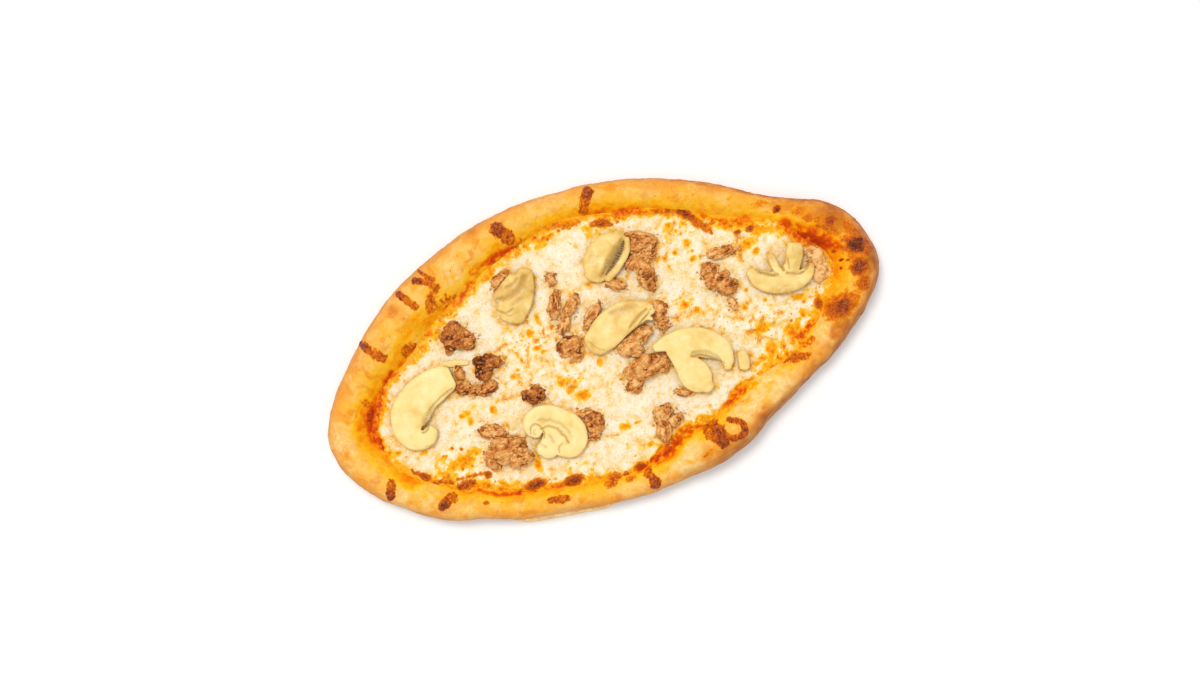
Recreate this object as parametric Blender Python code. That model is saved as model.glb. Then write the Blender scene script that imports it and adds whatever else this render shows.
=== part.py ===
"""Peinirli: a boat-shaped open bread, filled with tomato sauce and melted cheese, with flakes of tuna
and slices of tinned mushroom on top.

Frame: metres, +Z up, +X along the boat's length. The origin lies under the middle of the whole piece,
on the flat underside that it rests on. Everything below is worked out in millimetres and scaled once,
when an object is made.
"""

import math

import bmesh
import bpy
from mathutils import Matrix, Vector, noise
from mathutils.bvhtree import BVHTree
from mathutils.geometry import delaunay_2d_cdt

MM = 0.001
MERGE = 0.02  # corners this close are merged after a cut

# ---------------------------------------------------------------------------------------------
# Driving dimensions, in millimetres
# ---------------------------------------------------------------------------------------------
STATIONS = 84  # sections round the boat, shared by the crust, the sauce and the cheese
SPAN_STEPS = 16  # points worked out on a curve from each of its given points to the next
FLOOR = 7.0  # dough under the filling
FILL_LEVEL = 12.6  # where the filling meets the rim
FLANK = 6.0  # how far the rim's inner flank runs in below the filling's level
CREST_BASE = 11.0  # the crest's height is this ...
CREST_SHARE = 0.5  # ... and this share of the rim's width
SPINE = 0.68  # sections point at the long axis, at this share of their own x
GAP = 0.35  # air between solids that touch
FLANK_GAP = 1.4 * GAP  # the same, measured level across the sloping flank
SAUCE = 1.1  # thickness of the tomato sauce
SAUCE_EDGE = FILL_LEVEL - 0.3  # height of the sauce's edge
CHEESE_EDGE = FILL_LEVEL - 0.6  # height where the cheese's side turns into its top
CHEESE_CROWN = 0.9  # how much the cheese stands above the filling's level
CHEESE_ROUND = 1.4  # how far its edge is rounded in ...
CHEESE_DROP = 0.25  # ... and how far it lies below the top there
CHEESE_GRID = 7.5  # spacing of the points over its top
SLICE = 4.0  # thickness of a mushroom slice where it is wide
SLICE_SLOPE = 0.75  # where it is narrow, half its thickness is this share of its half-width ...
SLICE_LEAST = 0.5  # ... and this much more
REST = 1.3 * GAP  # air between a topping and the highest cheese under it

# The rim, anticlockwise from the right tip: x and y of its widest line, and its width there.
RIM = (
    (154.9, -2, 24), (151, 15.5, 24.5), (138.5, 30.5, 22.5), (119.5, 39.5, 14), (105.5, 47.3, 13.5),
    (84, 60.8, 17), (54, 74.5, 16.5), (27, 82, 17.2), (0, 84.6, 16), (-28, 84.2, 21), (-57, 78.6, 25),
    (-90.5, 65.8, 27), (-113, 51.3, 27), (-136.5, 29.5, 22.5), (-148, 15.5, 24), (-154.9, 0, 25),
    (-153, -16, 23.5), (-145, -31, 20.5), (-132.5, -44, 17.5), (-117, -56.3, 18), (-102.5, -63.3, 16),
    (-91, -66.4, 15.5), (-68, -75, 15), (-46, -78.7, 14), (-28, -82, 14), (-5, -84.6, 14.5),
    (12, -83.6, 17), (27, -83, 22), (40, -81.5, 22.5), (55.8, -77.2, 22.5), (71.5, -68.5, 21.5),
    (86.5, -61.3, 19), (101.5, -54.3, 15.5), (114.3, -48.3, 17.5), (126.5, -40, 18.5), (139.6, -30, 22),
    (152, -16, 25),
)
# A lip of dough that spread out under the rim: x of its middle, half its length, and its reach.
LIP = (-48, 32, 2.6)
LIP_SHARE = 0.36  # share of the crest's height where the lip dies away
LIP_ENDS = 2.5  # how sharply it ends along the rim

# The rim's section from its foot to its crest: share of the rim's width, share of the crest's height.
OUTER_SECTION = (
    (0.30, 0.0), (0.09, 0.13), (0.0, 0.36), (0.025, 0.60), (0.11, 0.80), (0.24, 0.94), (0.40, 1.0),
)
# From the crest down to the filling: share of the rim's width, share of the crest's rise above it.
INNER_SECTION = ((0.56, 0.94), (0.71, 0.72), (0.86, 0.38), (1.0, 0.0))

# Ends of a tube, from its last full section out: push in half-widths, and share of the width there.
ROUND_END = ((0.0, 1.0), (0.30, 0.86), (0.62, 0.45))

# Cheese that ran over the rim and browned there: points (x, y, radius) along each strand.
STRANDS = (
    ((20.5, 78, 3.0), (17.8, 73.5, 2.6), (15.5, 70, 1.9)),
    ((-31, 76, 3.6), (-28, 71.5, 3.4), (-26.5, 68, 2.2)),
    ((-81, 64.5, 2.1), (-76, 62.5, 1.6), (-71.5, 58, 1.5)),
    ((-77.5, 69, 1.1), (-74.5, 65, 1.2), (-71.5, 61.5, 1.0)),
    ((-91.5, 61, 1.8), (-88.5, 57, 1.9), (-85.5, 52, 1.4)),
    ((-118.5, 42.5, 2.2), (-115, 37.5, 2.2), (-110.5, 32, 1.7)),
    ((-132.5, -38, 2.2), (-131, -34.5, 2.4), (-129.5, -31, 1.6)),
    ((-108, -52, 2.4), (-104, -50.5, 3.0), (-102, -50, 2.2)),
    ((-54, -69, 1.4), (-49.5, -70, 1.9), (-45, -70.5, 1.5)),
    ((0, -73, 2.0), (1, -76, 2.3), (2, -79.5, 3.0)),
    ((37.5, -62.5, 2.4), (39.5, -66, 3.4), (43, -71, 3.2)),
    ((50, -61, 1.4), (55.5, -64.5, 1.8), (55, -70, 2.0), (48.5, -71, 1.7)),
)
STRAND_FLATNESS = 0.62  # half a strand's thickness, as a share of its radius
STRAND_SINK = 0.3  # how far its middle lies below the crust's surface
STRAND_LOWEST = FILL_LEVEL + 1.2  # keeps its end clear of the filling
# Bubbles of dough and cheese baked dark on the rim: x, y, half-width.
BLISTERS = ((124.5, -25.5, 7.5), (144.5, 5.5, 5.4), (142.5, -8, 4.8), (112, 35.5, 2.2))
BLISTER_HEIGHT = 2.6  # half a blister's thickness
BLISTER_LUMPS = 1.7  # how closely a blister's lumps follow one another
# Browned bubbles at the edge of the cheese: x, y, radius, height.
BUBBLES = ((-59, -57.5, 5.5, 1.5), (-39.5, -61.5, 5, 1.5), (-98, -42, 5, 1.0), (57, 36, 6, 0.9))
# Where the cheese left the tomato sauce bare along the rim: x, y, width of the bare strip.
BARE_SAUCE = (
    (36, 62, 3.2), (88, 38, 3.6), (122, 16, 4.6), (-129, -1, 3.2), (-121, -31, 3.2), (17, -65, 3.6),
    (59, -50, 3.6),
)
BARE_REACH = 13  # how far along the rim each of those strips runs out
BARE_LEAST = 0.3  # width of the bare strip elsewhere

# Mushroom slices, as strokes of (x, y, half-width). lift raises the left and the right end of a slice.
MUSHROOMS = {
    "mushroom_hooked": {
        "lift": (0.0, 0.8),
        "strokes": (
            ((-84.5, 10.8, 7.8), (-91, 9.5, 9.2), (-100, 6, 10), (-108, -0.5, 10.5), (-111.5, -8, 8.2),
             (-109.5, -14, 6.2), (-104, -15.5, 5), (-100, -12.5, 3.4)),
        ),
    },
    "mushroom_spiral": {
        "lift": (0.0, 0.0),
        "strokes": (
            ((-46.5, -31, 2.0), (-48.2, -33.4, 2.2), (-50.8, -30.5, 3.0), (-49.8, -26.3, 3.9),
             (-45.3, -24, 4.4), (-39.3, -25.3, 4.9), (-33.4, -30, 5.4), (-29, -36.5, 5.9),
             (-29, -43.3, 5.4), (-34, -47.4, 4.3), (-40, -45.8, 3.0)),
            ((-41, -34.5, 3.6), (-42.5, -39.5, 5.4), (-45, -43, 5.4), (-48.5, -41.5, 3.8)),
        ),
    },
    "mushroom_folded": {
        "lift": (0.0, 1.2),
        "strokes": (
            ((-25, 49, 4.2), (-28.5, 43.5, 6.6), (-34, 37.5, 8.6), (-39, 32, 8.2)),
            ((-43.5, 41.8, 3.0), (-38, 44.3, 3.8), (-32, 47.3, 4.0)),
        ),
    },
    "mushroom_gilled": {
        "lift": (0.0, 1.4),
        "strokes": (
            ((10, 35.5, 6.0), (13.5, 41, 8.4), (20, 46.3, 8.4), (28, 49.4, 4.6)),
            ((15, 31.5, 2.4), (22, 36, 2.8), (28.5, 42, 2.8), (31.5, 47.5, 2.0)),
        ),
    },
    "mushroom_long": {
        "lift": (0.0, 3.2),
        "strokes": (
            ((-2.5, 1.2, 7.2), (4, 4.4, 9.0), (12, 8, 9.0), (20, 9.8, 7.6), (28, 9.2, 4.4)),
            ((20, 4.5, 2.4), (25, 6, 2.8), (31, 8.3, 2.0)),
        ),
    },
    "mushroom_arched": {
        "lift": (1.4, 0.0),
        "strokes": (
            ((26.5, -12, 2.4), (33.5, -12, 4.8), (42, -13.8, 7.0), (51, -18, 7.8), (58, -24, 6.4),
             (60, -30, 4.2), (58.8, -34.5, 2.4)),
            ((37, -16, 6.4), (38.5, -24, 6.4), (41, -32, 8.4), (43.5, -37.5, 7.2), (45.5, -41, 3.6)),
        ),
    },
    "mushroom_stub": {
        "lift": (0.0, 0.0),
        "strokes": (((68.6, -30.6, 2.8), (68.2, -34, 3.2), (67.4, -37.4, 2.9)),),
    },
    "mushroom_crescent": {
        "lift": (0.0, 1.6),
        "strokes": (
            ((87.5, 8.5, 2.8), (91, 3.5, 5.2), (97, -1, 5.6), (104, -3.7, 5.0), (111, -3.8, 4.4),
             (116.5, -1.6, 3.2), (118.8, 1, 1.9)),
            ((107.5, 0, 3.0), (110, 5, 4.2), (112.6, 10, 4.8), (114.2, 14, 4.2)),
            ((103.5, 0, 2.6), (101, 6, 2.2), (100.5, 13, 2.4)),
        ),
    },
}

# Tuna flakes, as lobes of (x, y, half-length, half-width, degrees of turn, height).
TUNA = {
    "tuna_ball": (
        (-72.5, 29, 7.2, 6.6, 20, 6.2), (-71.5, 33, 5.4, 4.8, 70, 5.6), (-66.5, 26, 4.4, 5.0, 0, 5.0),
    ),
    "tuna_wedge": ((-60.5, 11.5, 7.2, 4.4, -22, 5.0), (-63.5, 7.5, 4.8, 4.6, 0, 5.6)),
    "tuna_trail": (
        (-76.5, 2.4, 4.6, 3.2, 10, 3.2), (-70.5, -0.8, 5.0, 3.0, -20, 2.8), (-65, -1.8, 5.8, 3.6, 10, 3.4),
    ),
    "tuna_sliver": ((-76.3, 11.5, 2.4, 4.6, 0, 2.6),),
    "tuna_dark": ((-42.8, -13.6, 6.0, 4.2, -10, 3.8),),
    "tuna_heap": (
        (-70, -24.5, 7.4, 3.8, -35, 3.8), (-66, -36, 10.5, 6.8, -10, 6.4), (-61, -42.5, 6.4, 4.6, -15, 6.0),
        (-74.5, -38.5, 4.2, 5.4, 20, 4.4),
    ),
    "tuna_edge": (
        (-17.5, -38, 4.6, 6.2, 0, 4.2), (-21, -32, 4.0, 2.4, -10, 3.0), (-19.5, -44.5, 3.2, 2.4, 20, 2.8),
    ),
    "tuna_crumbled": ((-16.5, 4.5, 6.8, 5.4, 10, 4.4), (-14.5, -1.8, 3.2, 2.6, 0, 3.0)),
    "tuna_splinter": ((-16.2, 27.6, 7.6, 3.0, 60, 3.4),),
    "tuna_split": ((-9, 23.5, 7.4, 3.2, 45, 4.4), (-14.5, 17, 6.0, 3.0, 55, 3.2)),
    "tuna_sprig": ((1, 15.8, 7.4, 3.0, 40, 4.0),),
    "tuna_under": (
        (13.5, -6.5, 5.8, 5.0, 0, 4.6), (21, -3, 7.0, 3.8, 18, 4.6), (16.5, -10, 3.8, 3.0, 0, 3.4),
    ),
    "tuna_tail": ((35, 5.5, 3.6, 6.4, -20, 3.4), (35, -1.6, 2.8, 2.6, 0, 2.6)),
    "tuna_large": (
        (37, 44, 9.8, 5.4, -20, 6.2), (38, 37.5, 6.4, 5.6, 0, 5.6), (30, 34.5, 4.4, 3.2, 20, 3.6),
        (35, 26.2, 4.6, 9.6, 8, 4.4),
    ),
    "tuna_nub": ((18, 27, 5.2, 2.8, -35, 3.2),),
    "tuna_block": (
        (17.5, -19.5, 10.6, 6.2, 8, 6.6), (26.5, -21.5, 4.6, 4.0, 0, 4.8), (9.5, -27, 4.6, 3.8, 10, 4.0),
    ),
    "tuna_lower": (
        (18.5, -45.5, 5.4, 4.0, 20, 5.2), (16, -53, 7.6, 3.8, 75, 5.2), (23.5, -51, 4.2, 2.8, 15, 4.2),
    ),
    "tuna_arc": ((76.5, 24, 7.6, 2.8, -6, 3.2),),
    "tuna_crumb": (
        (67.5, 16.5, 4.6, 5.0, 0, 4.0), (69.5, 10.5, 6.6, 4.0, 10, 5.0), (73.5, 5.6, 5.4, 4.4, 0, 6.0),
    ),
    "tuna_speck": ((73, -4, 2.2, 3.6, 0, 2.2),),
    "tuna_pale": ((123, 5.0, 3.8, 5.4, 10, 2.8), (121.5, -3.5, 4.2, 5.0, 0, 3.4)),
    "tuna_top": ((-38.5, 50.8, 6.2, 2.6, 25, 3.6),),
    "tuna_bit": ((-13, 41.5, 2.4, 3.4, 0, 2.2),),
    "tuna_fold": ((33, -39.2, 5.0, 1.8, -22, 2.4),),
}
LOBE_CRAG = 0.20  # depth of the crags, as a share of a lobe's size
LOBE_GRAIN = (1.1, 2.4, 2.4)  # how closely the crags follow one another along a lobe, across and up
LOBE_LIFT = 0.15  # height of a lobe's middle over its flat underside, as a share of its own height

# Lumps of the baked rim: size and depth, large and small.
RIM_LUMPS = ((21, 1.1), (8, 0.5))
SIDE_LUMPS = 0.6  # share of that depth on the rim's sides
# Lumps of the melted cheese: size and depth, large and small.
CHEESE_LUMPS = ((17, 0.45), (8, 0.35))

# Colours and finishes
COLOURS = {
    "crust": ((0.72, 0.36, 0.09, 1), 0.55),
    "sauce": ((0.60, 0.10, 0.02, 1), 0.25),
    "cheese": ((0.88, 0.76, 0.52, 1), 0.35),
    "mushroom": ((0.82, 0.66, 0.33, 1), 0.45),
    "tuna": ((0.42, 0.20, 0.09, 1), 0.55),
}


# ---------------------------------------------------------------------------------------------
# Curves and sections
# ---------------------------------------------------------------------------------------------
def spline(rows, count, closed):
    """count rows along a Catmull-Rom curve through the given rows, evenly spaced along x and y."""
    rows = [Vector(row) for row in rows]
    spans = len(rows) if closed else len(rows) - 1
    fine = []
    for i in range(spans):
        if closed:
            a, b, c, d = (rows[(i + k) % len(rows)] for k in (-1, 0, 1, 2))
        else:
            b, c = rows[i], rows[i + 1]
            a = rows[i - 1] if i else b * 2 - c
            d = rows[i + 2] if i + 2 < len(rows) else c * 2 - b
        for step in range(SPAN_STEPS):
            t = step / SPAN_STEPS
            fine.append(
                ((-a + 3 * b - 3 * c + d) * t**3 + (2 * a - 5 * b + 4 * c - d) * t**2 + (c - a) * t) / 2 + b
            )
    fine.append(fine[0] if closed else rows[-1])
    lengths = [0.0]
    for p, q in zip(fine, fine[1:]):
        lengths.append(lengths[-1] + (q.to_2d() - p.to_2d()).length)
    even = []
    at = 0
    for k in range(count):
        wanted = lengths[-1] * k / (count if closed else count - 1)
        while at < len(lengths) - 2 and lengths[at + 1] < wanted:
            at += 1
        share = (wanted - lengths[at]) / (lengths[at + 1] - lengths[at])
        even.append(fine[at].lerp(fine[at + 1], min(max(share, 0), 1)))
    return even


def rim_stations():
    """For each section round the boat: its outermost point, the way in, the rim's width and crest height."""
    found = []
    for x, y, width in spline(RIM, STATIONS, closed=True):
        point = Vector((x, y, 0))
        inward = (Vector((SPINE * x, 0, 0)) - point).normalized()
        found.append((point, inward, width, CREST_BASE + CREST_SHARE * width))
    return found


def ring(stations, inset, height):
    """Points round the boat: inset and height are functions of a section."""
    return [
        station[0] + station[1] * inset(station) + Vector((0, 0, height(station))) for station in stations
    ]


def flank_ring(stations, z, clear):
    """Points round the boat at height z, clear(station) in from the rim's inner flank."""

    def inset(station):
        width = station[2]
        return width + FLANK * (FILL_LEVEL - z) / (FILL_LEVEL - FLOOR) + clear(station)

    return ring(stations, inset, lambda station: z)


def lumpiness(point, lumps):
    """Smooth lumps of several sizes, given as rows of (size, depth)."""
    return sum(depth * noise.noise(point / size + Vector((size, 0, 0))) for size, depth in lumps)


# ---------------------------------------------------------------------------------------------
# Meshes and objects
# ---------------------------------------------------------------------------------------------
def loft(rings):
    """A closed mesh through rings of equal length, capped by one face at each end."""
    mesh = bmesh.new()
    made = [[mesh.verts.new(p) for p in points] for points in rings]
    for low, high in zip(made, made[1:]):
        for i in range(len(low)):
            j = (i + 1) % len(low)
            mesh.faces.new((low[i], low[j], high[j], high[i]))
    mesh.faces.new(reversed(made[0]))
    mesh.faces.new(made[-1])
    bmesh.ops.recalc_face_normals(mesh, faces=mesh.faces)
    return mesh


def material_of(kind):
    """The Principled material for one kind of food, made once."""
    found = bpy.data.materials.get(kind)
    if found:
        return found
    colour, roughness = COLOURS[kind]
    made = bpy.data.materials.new(kind)
    made.use_nodes = True
    shader = made.node_tree.nodes["Principled BSDF"]
    shader.inputs["Base Color"].default_value = colour
    shader.inputs["Roughness"].default_value = roughness
    shader.inputs["Metallic"].default_value = 0.0
    return made


def object_of(name, mesh, kind, collection):
    """A named object in metres from a mesh in millimetres, shaded smooth but for its sharper edges."""
    bmesh.ops.scale(mesh, vec=(MM, MM, MM), verts=mesh.verts)
    data = bpy.data.meshes.new(name)
    mesh.to_mesh(data)
    mesh.free()
    data.materials.append(material_of(kind))
    data.shade_smooth()
    data.set_sharp_from_angle(angle=math.radians(50))
    made = bpy.data.objects.new(name, data)
    collection.objects.link(made)
    return made


def apply_boolean(target, others, operation):
    """Joins or cuts target with the other objects, and removes those."""
    if not others:
        return
    helpers = bpy.data.collections.new(target.name + "_helpers")
    bpy.context.scene.collection.children.link(helpers)
    for other in others:
        for owner in list(other.users_collection):
            owner.objects.unlink(other)
        helpers.objects.link(other)
    modifier = target.modifiers.new(operation.title(), "BOOLEAN")
    modifier.operation = operation
    modifier.operand_type = "COLLECTION"
    modifier.collection = helpers
    modifier.solver = "EXACT"
    bpy.context.view_layer.update()
    graph = bpy.context.evaluated_depsgraph_get()
    joined = bpy.data.meshes.new_from_object(target.evaluated_get(graph))
    target.modifiers.remove(modifier)
    old = target.data
    target.data = joined
    bpy.data.meshes.remove(old)
    for other in others:
        bpy.data.objects.remove(other)
    bpy.data.collections.remove(helpers)


def fused(name, meshes, kind, collection):
    """One object from overlapping closed meshes."""
    parts = [object_of(f"{name}_{n}", mesh, kind, collection) for n, mesh in enumerate(meshes)]
    whole = parts[0]
    apply_boolean(whole, parts[1:], "UNION")
    whole.name = name
    whole.data.name = name
    return whole


def signed_power(value, power):
    """The power of a value's size, with the value's own sign."""
    return math.copysign(abs(value) ** power, value)


def tube(rows, count, lift, half_height, sides=6, squareness=2.0, grow=0.0):
    """A closed tube along rows of (x, y, half-width), in count sections, with round ends.
    lift gives the height of its middle at (x, y), and half_height half its thickness for a half-width.
    squareness is its section's superellipse power: 2 is round, and more is boxier."""
    path = spline(rows, count, closed=False)
    rings = []
    for n, (x, y, half_width) in enumerate(path):
        ahead = path[min(n + 1, count - 1)].to_2d() - path[max(n - 1, 0)].to_2d()
        along = Vector((ahead.x, ahead.y, 0)).normalized()
        side = Vector((along.y, -along.x, 0))
        centre = Vector((x, y, lift(x, y)))
        sizes = ROUND_END[:1]
        if n == 0:
            sizes = [(-push, share) for push, share in reversed(ROUND_END)]
        elif n == count - 1:
            sizes = ROUND_END
        for push, share in sizes:
            middle = centre + along * push * (half_width + grow)
            wide = half_width * share + grow
            high = half_height(half_width) * math.sqrt(share) + grow
            points = []
            for k in range(sides):
                angle = 2 * math.pi * (k + 0.5) / sides
                across = signed_power(math.cos(angle), 2 / squareness) * wide
                up = signed_power(math.sin(angle), 2 / squareness) * high
                points.append(middle + side * across + Vector((0, 0, up)))
            rings.append(points)
    return loft(rings)


# ---------------------------------------------------------------------------------------------
# Crust
# ---------------------------------------------------------------------------------------------
def lip_reach(point, inset, up):
    """How far the lip of dough pushes out a point near the rim's foot, inset from the widest line."""
    middle, half, reach = LIP
    along = 1 - ((point.x - middle) / half) ** 2
    if point.y > 0 or along <= 0:
        return 0.0
    return min(1.0, LIP_ENDS * along) * (inset + reach) * math.sqrt(max(0.0, 1 - up / LIP_SHARE))


def crust_mesh(stations):
    """The boat: a flat foot, a puffed rim and a flat floor under the filling."""
    rings = []
    for across, up in OUTER_SECTION:
        points = ring(stations, lambda station: across * station[2], lambda station: up * station[3])
        for point, (_, inward, width, _) in zip(points, stations):
            relief = lumpiness(point, RIM_LUMPS) if up else 0.0
            outward = SIDE_LUMPS * relief * (1 - up) + lip_reach(point, across * width, up)
            point += Vector((0, 0, relief * up)) - inward * outward
        rings.append(points)
    for across, up in INNER_SECTION:
        points = ring(
            stations,
            lambda station: across * station[2],
            lambda station: FILL_LEVEL + up * (station[3] - FILL_LEVEL),
        )
        rings.append([p + Vector((0, 0, lumpiness(p, RIM_LUMPS) * up)) for p in points])
    rings.append(flank_ring(stations, FLOOR, lambda station: 0.0))
    return loft(rings)


def blister_mesh(x, y, half_width, base):
    """A craggy flattened bubble with its middle at height base."""
    bubble = bmesh.new()
    bmesh.ops.create_icosphere(bubble, subdivisions=2, radius=1)
    for vertex in bubble.verts:
        crag = 1 + LOBE_CRAG * noise.noise(vertex.co * BLISTER_LUMPS + Vector((x, y, 0)))
        sizes = Vector((half_width, half_width, BLISTER_HEIGHT))
        vertex.co = Vector((x, y, base)) + vertex.co * sizes * crag
    return bubble


def make_crust(stations, collection):
    """The boat with its browned strands of cheese and its blisters fused on."""
    body = crust_mesh(stations)
    tree = BVHTree.FromBMesh(body)

    def lift(x, y):
        surface = tree.ray_cast(Vector((x, y, 100)), Vector((0, 0, -1)))[0]
        return max(surface.z - STRAND_SINK, STRAND_LOWEST)

    pieces = [body]
    pieces += [tube(rows, len(rows) + 1, lift, lambda r: STRAND_FLATNESS * r) for rows in STRANDS]
    pieces += [blister_mesh(x, y, half_width, lift(x, y)) for x, y, half_width in BLISTERS]
    return fused("crust", pieces, "crust", collection)


# ---------------------------------------------------------------------------------------------
# Sauce and cheese
# ---------------------------------------------------------------------------------------------
def bare_strip(station):
    """Width of the bare tomato sauce beside one section of the rim."""
    point, inward, width, _ = station
    foot = (point + inward * width).to_2d()
    strips = (
        bare * math.exp(-((math.dist((x, y), foot) / BARE_REACH) ** 2)) for x, y, bare in BARE_SAUCE
    )
    return BARE_LEAST + max(strips)


def make_sauce(stations, collection):
    """A thin dish of tomato sauce, which covers the floor and climbs the rim's flank."""
    floor = FLOOR + GAP
    rings = [flank_ring(stations, z, lambda station: FLANK_GAP) for z in (floor, SAUCE_EDGE)]
    rings += [
        flank_ring(stations, z, lambda station: FLANK_GAP + SAUCE + bare_strip(station))
        for z in (SAUCE_EDGE, floor + SAUCE)
    ]
    return object_of("tomato_sauce", loft(rings), "sauce", collection)


def cheese_top(x, y):
    """Height of the melted cheese: a low crown with soft lumps and a few bubbles at its edge."""
    bubbles = sum(
        high * max(0.0, 1 - (math.dist((x, y), (bx, by)) / radius) ** 2) for bx, by, radius, high in BUBBLES
    )
    return FILL_LEVEL + CHEESE_CROWN + lumpiness(Vector((x, y, 0)), CHEESE_LUMPS) + bubbles


def make_cheese(stations, collection):
    """A slab of melted cheese: walls lofted round it, and a top triangulated over a grid of points."""

    def side(z, inset):
        return flank_ring(stations, z, lambda station: 2 * FLANK_GAP + SAUCE + bare_strip(station) + inset)

    brink = side(CHEESE_EDGE, CHEESE_ROUND)
    for p in brink:
        p.z = cheese_top(p.x, p.y) - CHEESE_DROP
    slab = loft([side(FLOOR + SAUCE + 2 * GAP, 0.0), side(CHEESE_EDGE, 0.0), brink])
    slab.faces.ensure_lookup_table()
    bmesh.ops.delete(slab, geom=[slab.faces[-1]], context="FACES_ONLY")

    outline = [p.to_2d() for p in brink]
    row = CHEESE_GRID * math.sqrt(3) / 2
    across = int(max(p.x for p in outline) / CHEESE_GRID) + 1
    up = int(max(p.y for p in outline) / row) + 1
    grid = [
        Vector((CHEESE_GRID * (i + 0.5 * (j % 2)), row * j))
        for i in range(-across, across + 1)
        for j in range(-up, up + 1)
    ]
    inside = [p for p in grid if clear_inside(p, outline, 0.6 * CHEESE_GRID)]
    points, _, faces, _, _, _ = delaunay_2d_cdt(outline + inside, [], [list(range(len(outline)))], 1, 1e-6)
    slab.verts.ensure_lookup_table()
    corners = slab.verts[-len(outline) :]
    corners += [slab.verts.new((p.x, p.y, cheese_top(p.x, p.y))) for p in points[len(outline) :]]
    for face in faces:
        slab.faces.new([corners[k] for k in face])
    bmesh.ops.recalc_face_normals(slab, faces=slab.faces)
    return object_of("cheese", slab, "cheese", collection)


def clear_inside(point, outline, margin):
    """Whether a point lies inside a closed outline, at least margin from its corners."""
    crossings = 0
    for a, b in zip(outline, outline[1:] + outline[:1]):
        if (a - point).length < margin:
            return False
        if (a.y > point.y) != (b.y > point.y):
            crossings += point.x < a.x + (point.y - a.y) * (b.x - a.x) / (b.y - a.y)
    return crossings % 2 == 1


# ---------------------------------------------------------------------------------------------
# Toppings
# ---------------------------------------------------------------------------------------------
def highest_under(rows):
    """The highest point of the cheese under a topping given by rows of (x, y, half-width)."""
    reach = (-1, -0.5, 0, 0.5, 1)
    return max(cheese_top(x + i * r, y + j * r) for x, y, r in rows for i in reach for j in reach)


def slice_meshes(facts, grow=0.0):
    """The strokes of one mushroom slice as flat bands, lying on the cheese, each grown by grow."""
    rows = [row for stroke in facts["strokes"] for row in stroke]
    base = highest_under(rows) + REST + SLICE / 2
    left = min(row[0] for row in rows)
    right = max(row[0] for row in rows)
    rise_left, rise_right = facts["lift"]

    def lift(x, y):
        share = min(max((x - left) / (right - left), 0), 1)
        return base + rise_left + (rise_right - rise_left) * share

    def half_height(half_width):
        return min(SLICE / 2, SLICE_SLOPE * half_width + SLICE_LEAST)

    return [
        tube(stroke, 3 * len(stroke) // 2 + 1, lift, half_height, sides=8, squareness=2.8, grow=grow)
        for stroke in facts["strokes"]
    ]


def make_mushrooms(collection):
    """The mushroom slices, by name."""
    return {
        name: fused(name, slice_meshes(facts), "mushroom", collection) for name, facts in MUSHROOMS.items()
    }


def lobe_mesh(x, y, half_length, half_width, turn, height, base, seed):
    """One craggy lobe of a tuna flake, its grain along its length."""
    mesh = bmesh.new()
    bmesh.ops.create_icosphere(mesh, subdivisions=2, radius=1)
    around = Matrix.Rotation(math.radians(turn), 3, "Z")
    middle = Vector((x, y, base + LOBE_LIFT * height))
    sizes = Vector((half_length, half_width, height * (1 - LOBE_LIFT)))
    for vertex in mesh.verts:
        grain = vertex.co * Vector(LOBE_GRAIN) + Vector((seed, x, y))
        crag = 1 + LOBE_CRAG * noise.noise(grain)
        vertex.co = middle + around @ (vertex.co * sizes * crag)
    return mesh


def make_flake(name, lobes, seed, collection):
    """One piece of tuna: its lobes fused, with a flat underside just clear of the cheese."""
    base = highest_under([(x, y, min(a, b)) for x, y, a, b, _, _ in lobes]) + REST
    meshes = [lobe_mesh(*lobe, base, seed + n) for n, lobe in enumerate(lobes)]
    whole = fused(name, meshes, "tuna", collection)
    cut = bmesh.new()
    cut.from_mesh(whole.data)
    made = bmesh.ops.bisect_plane(
        cut,
        geom=[*cut.verts, *cut.edges, *cut.faces],
        dist=1e-7,
        plane_co=(0, 0, base * MM),
        plane_no=(0, 0, 1),
        clear_inner=True,
    )
    edges = [e for e in made["geom_cut"] if isinstance(e, bmesh.types.BMEdge)]
    bmesh.ops.holes_fill(cut, edges=edges)
    bmesh.ops.recalc_face_normals(cut, faces=cut.faces)
    cut.to_mesh(whole.data)
    cut.free()
    return whole


def make_tuna(mushrooms, collection):
    """The tuna flakes, each hollowed where a mushroom slice lies over it."""
    for number, (name, lobes) in enumerate(TUNA.items()):
        flake = make_flake(name, lobes, 10 * number, collection)
        cutters = []
        for slice_name, facts in MUSHROOMS.items():
            if boxes_meet(flake, mushrooms[slice_name]):
                grown = slice_meshes(facts, grow=GAP)
                cutters += [
                    object_of(f"{name}_{slice_name}_{n}", mesh, "mushroom", collection)
                    for n, mesh in enumerate(grown)
                ]
        apply_boolean(flake, cutters, "DIFFERENCE")
        keep_largest(flake)


def boxes_meet(a, b):
    """Whether the boxes round two objects' meshes come within GAP of each other."""
    ends = []
    for found in (a, b):
        corners = [v.co for v in found.data.vertices]
        ends.append([(min(c[k] for c in corners), max(c[k] for c in corners)) for k in range(3)])
    return all(p[0] < q[1] + GAP * MM and q[0] < p[1] + GAP * MM for p, q in zip(*ends))


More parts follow.
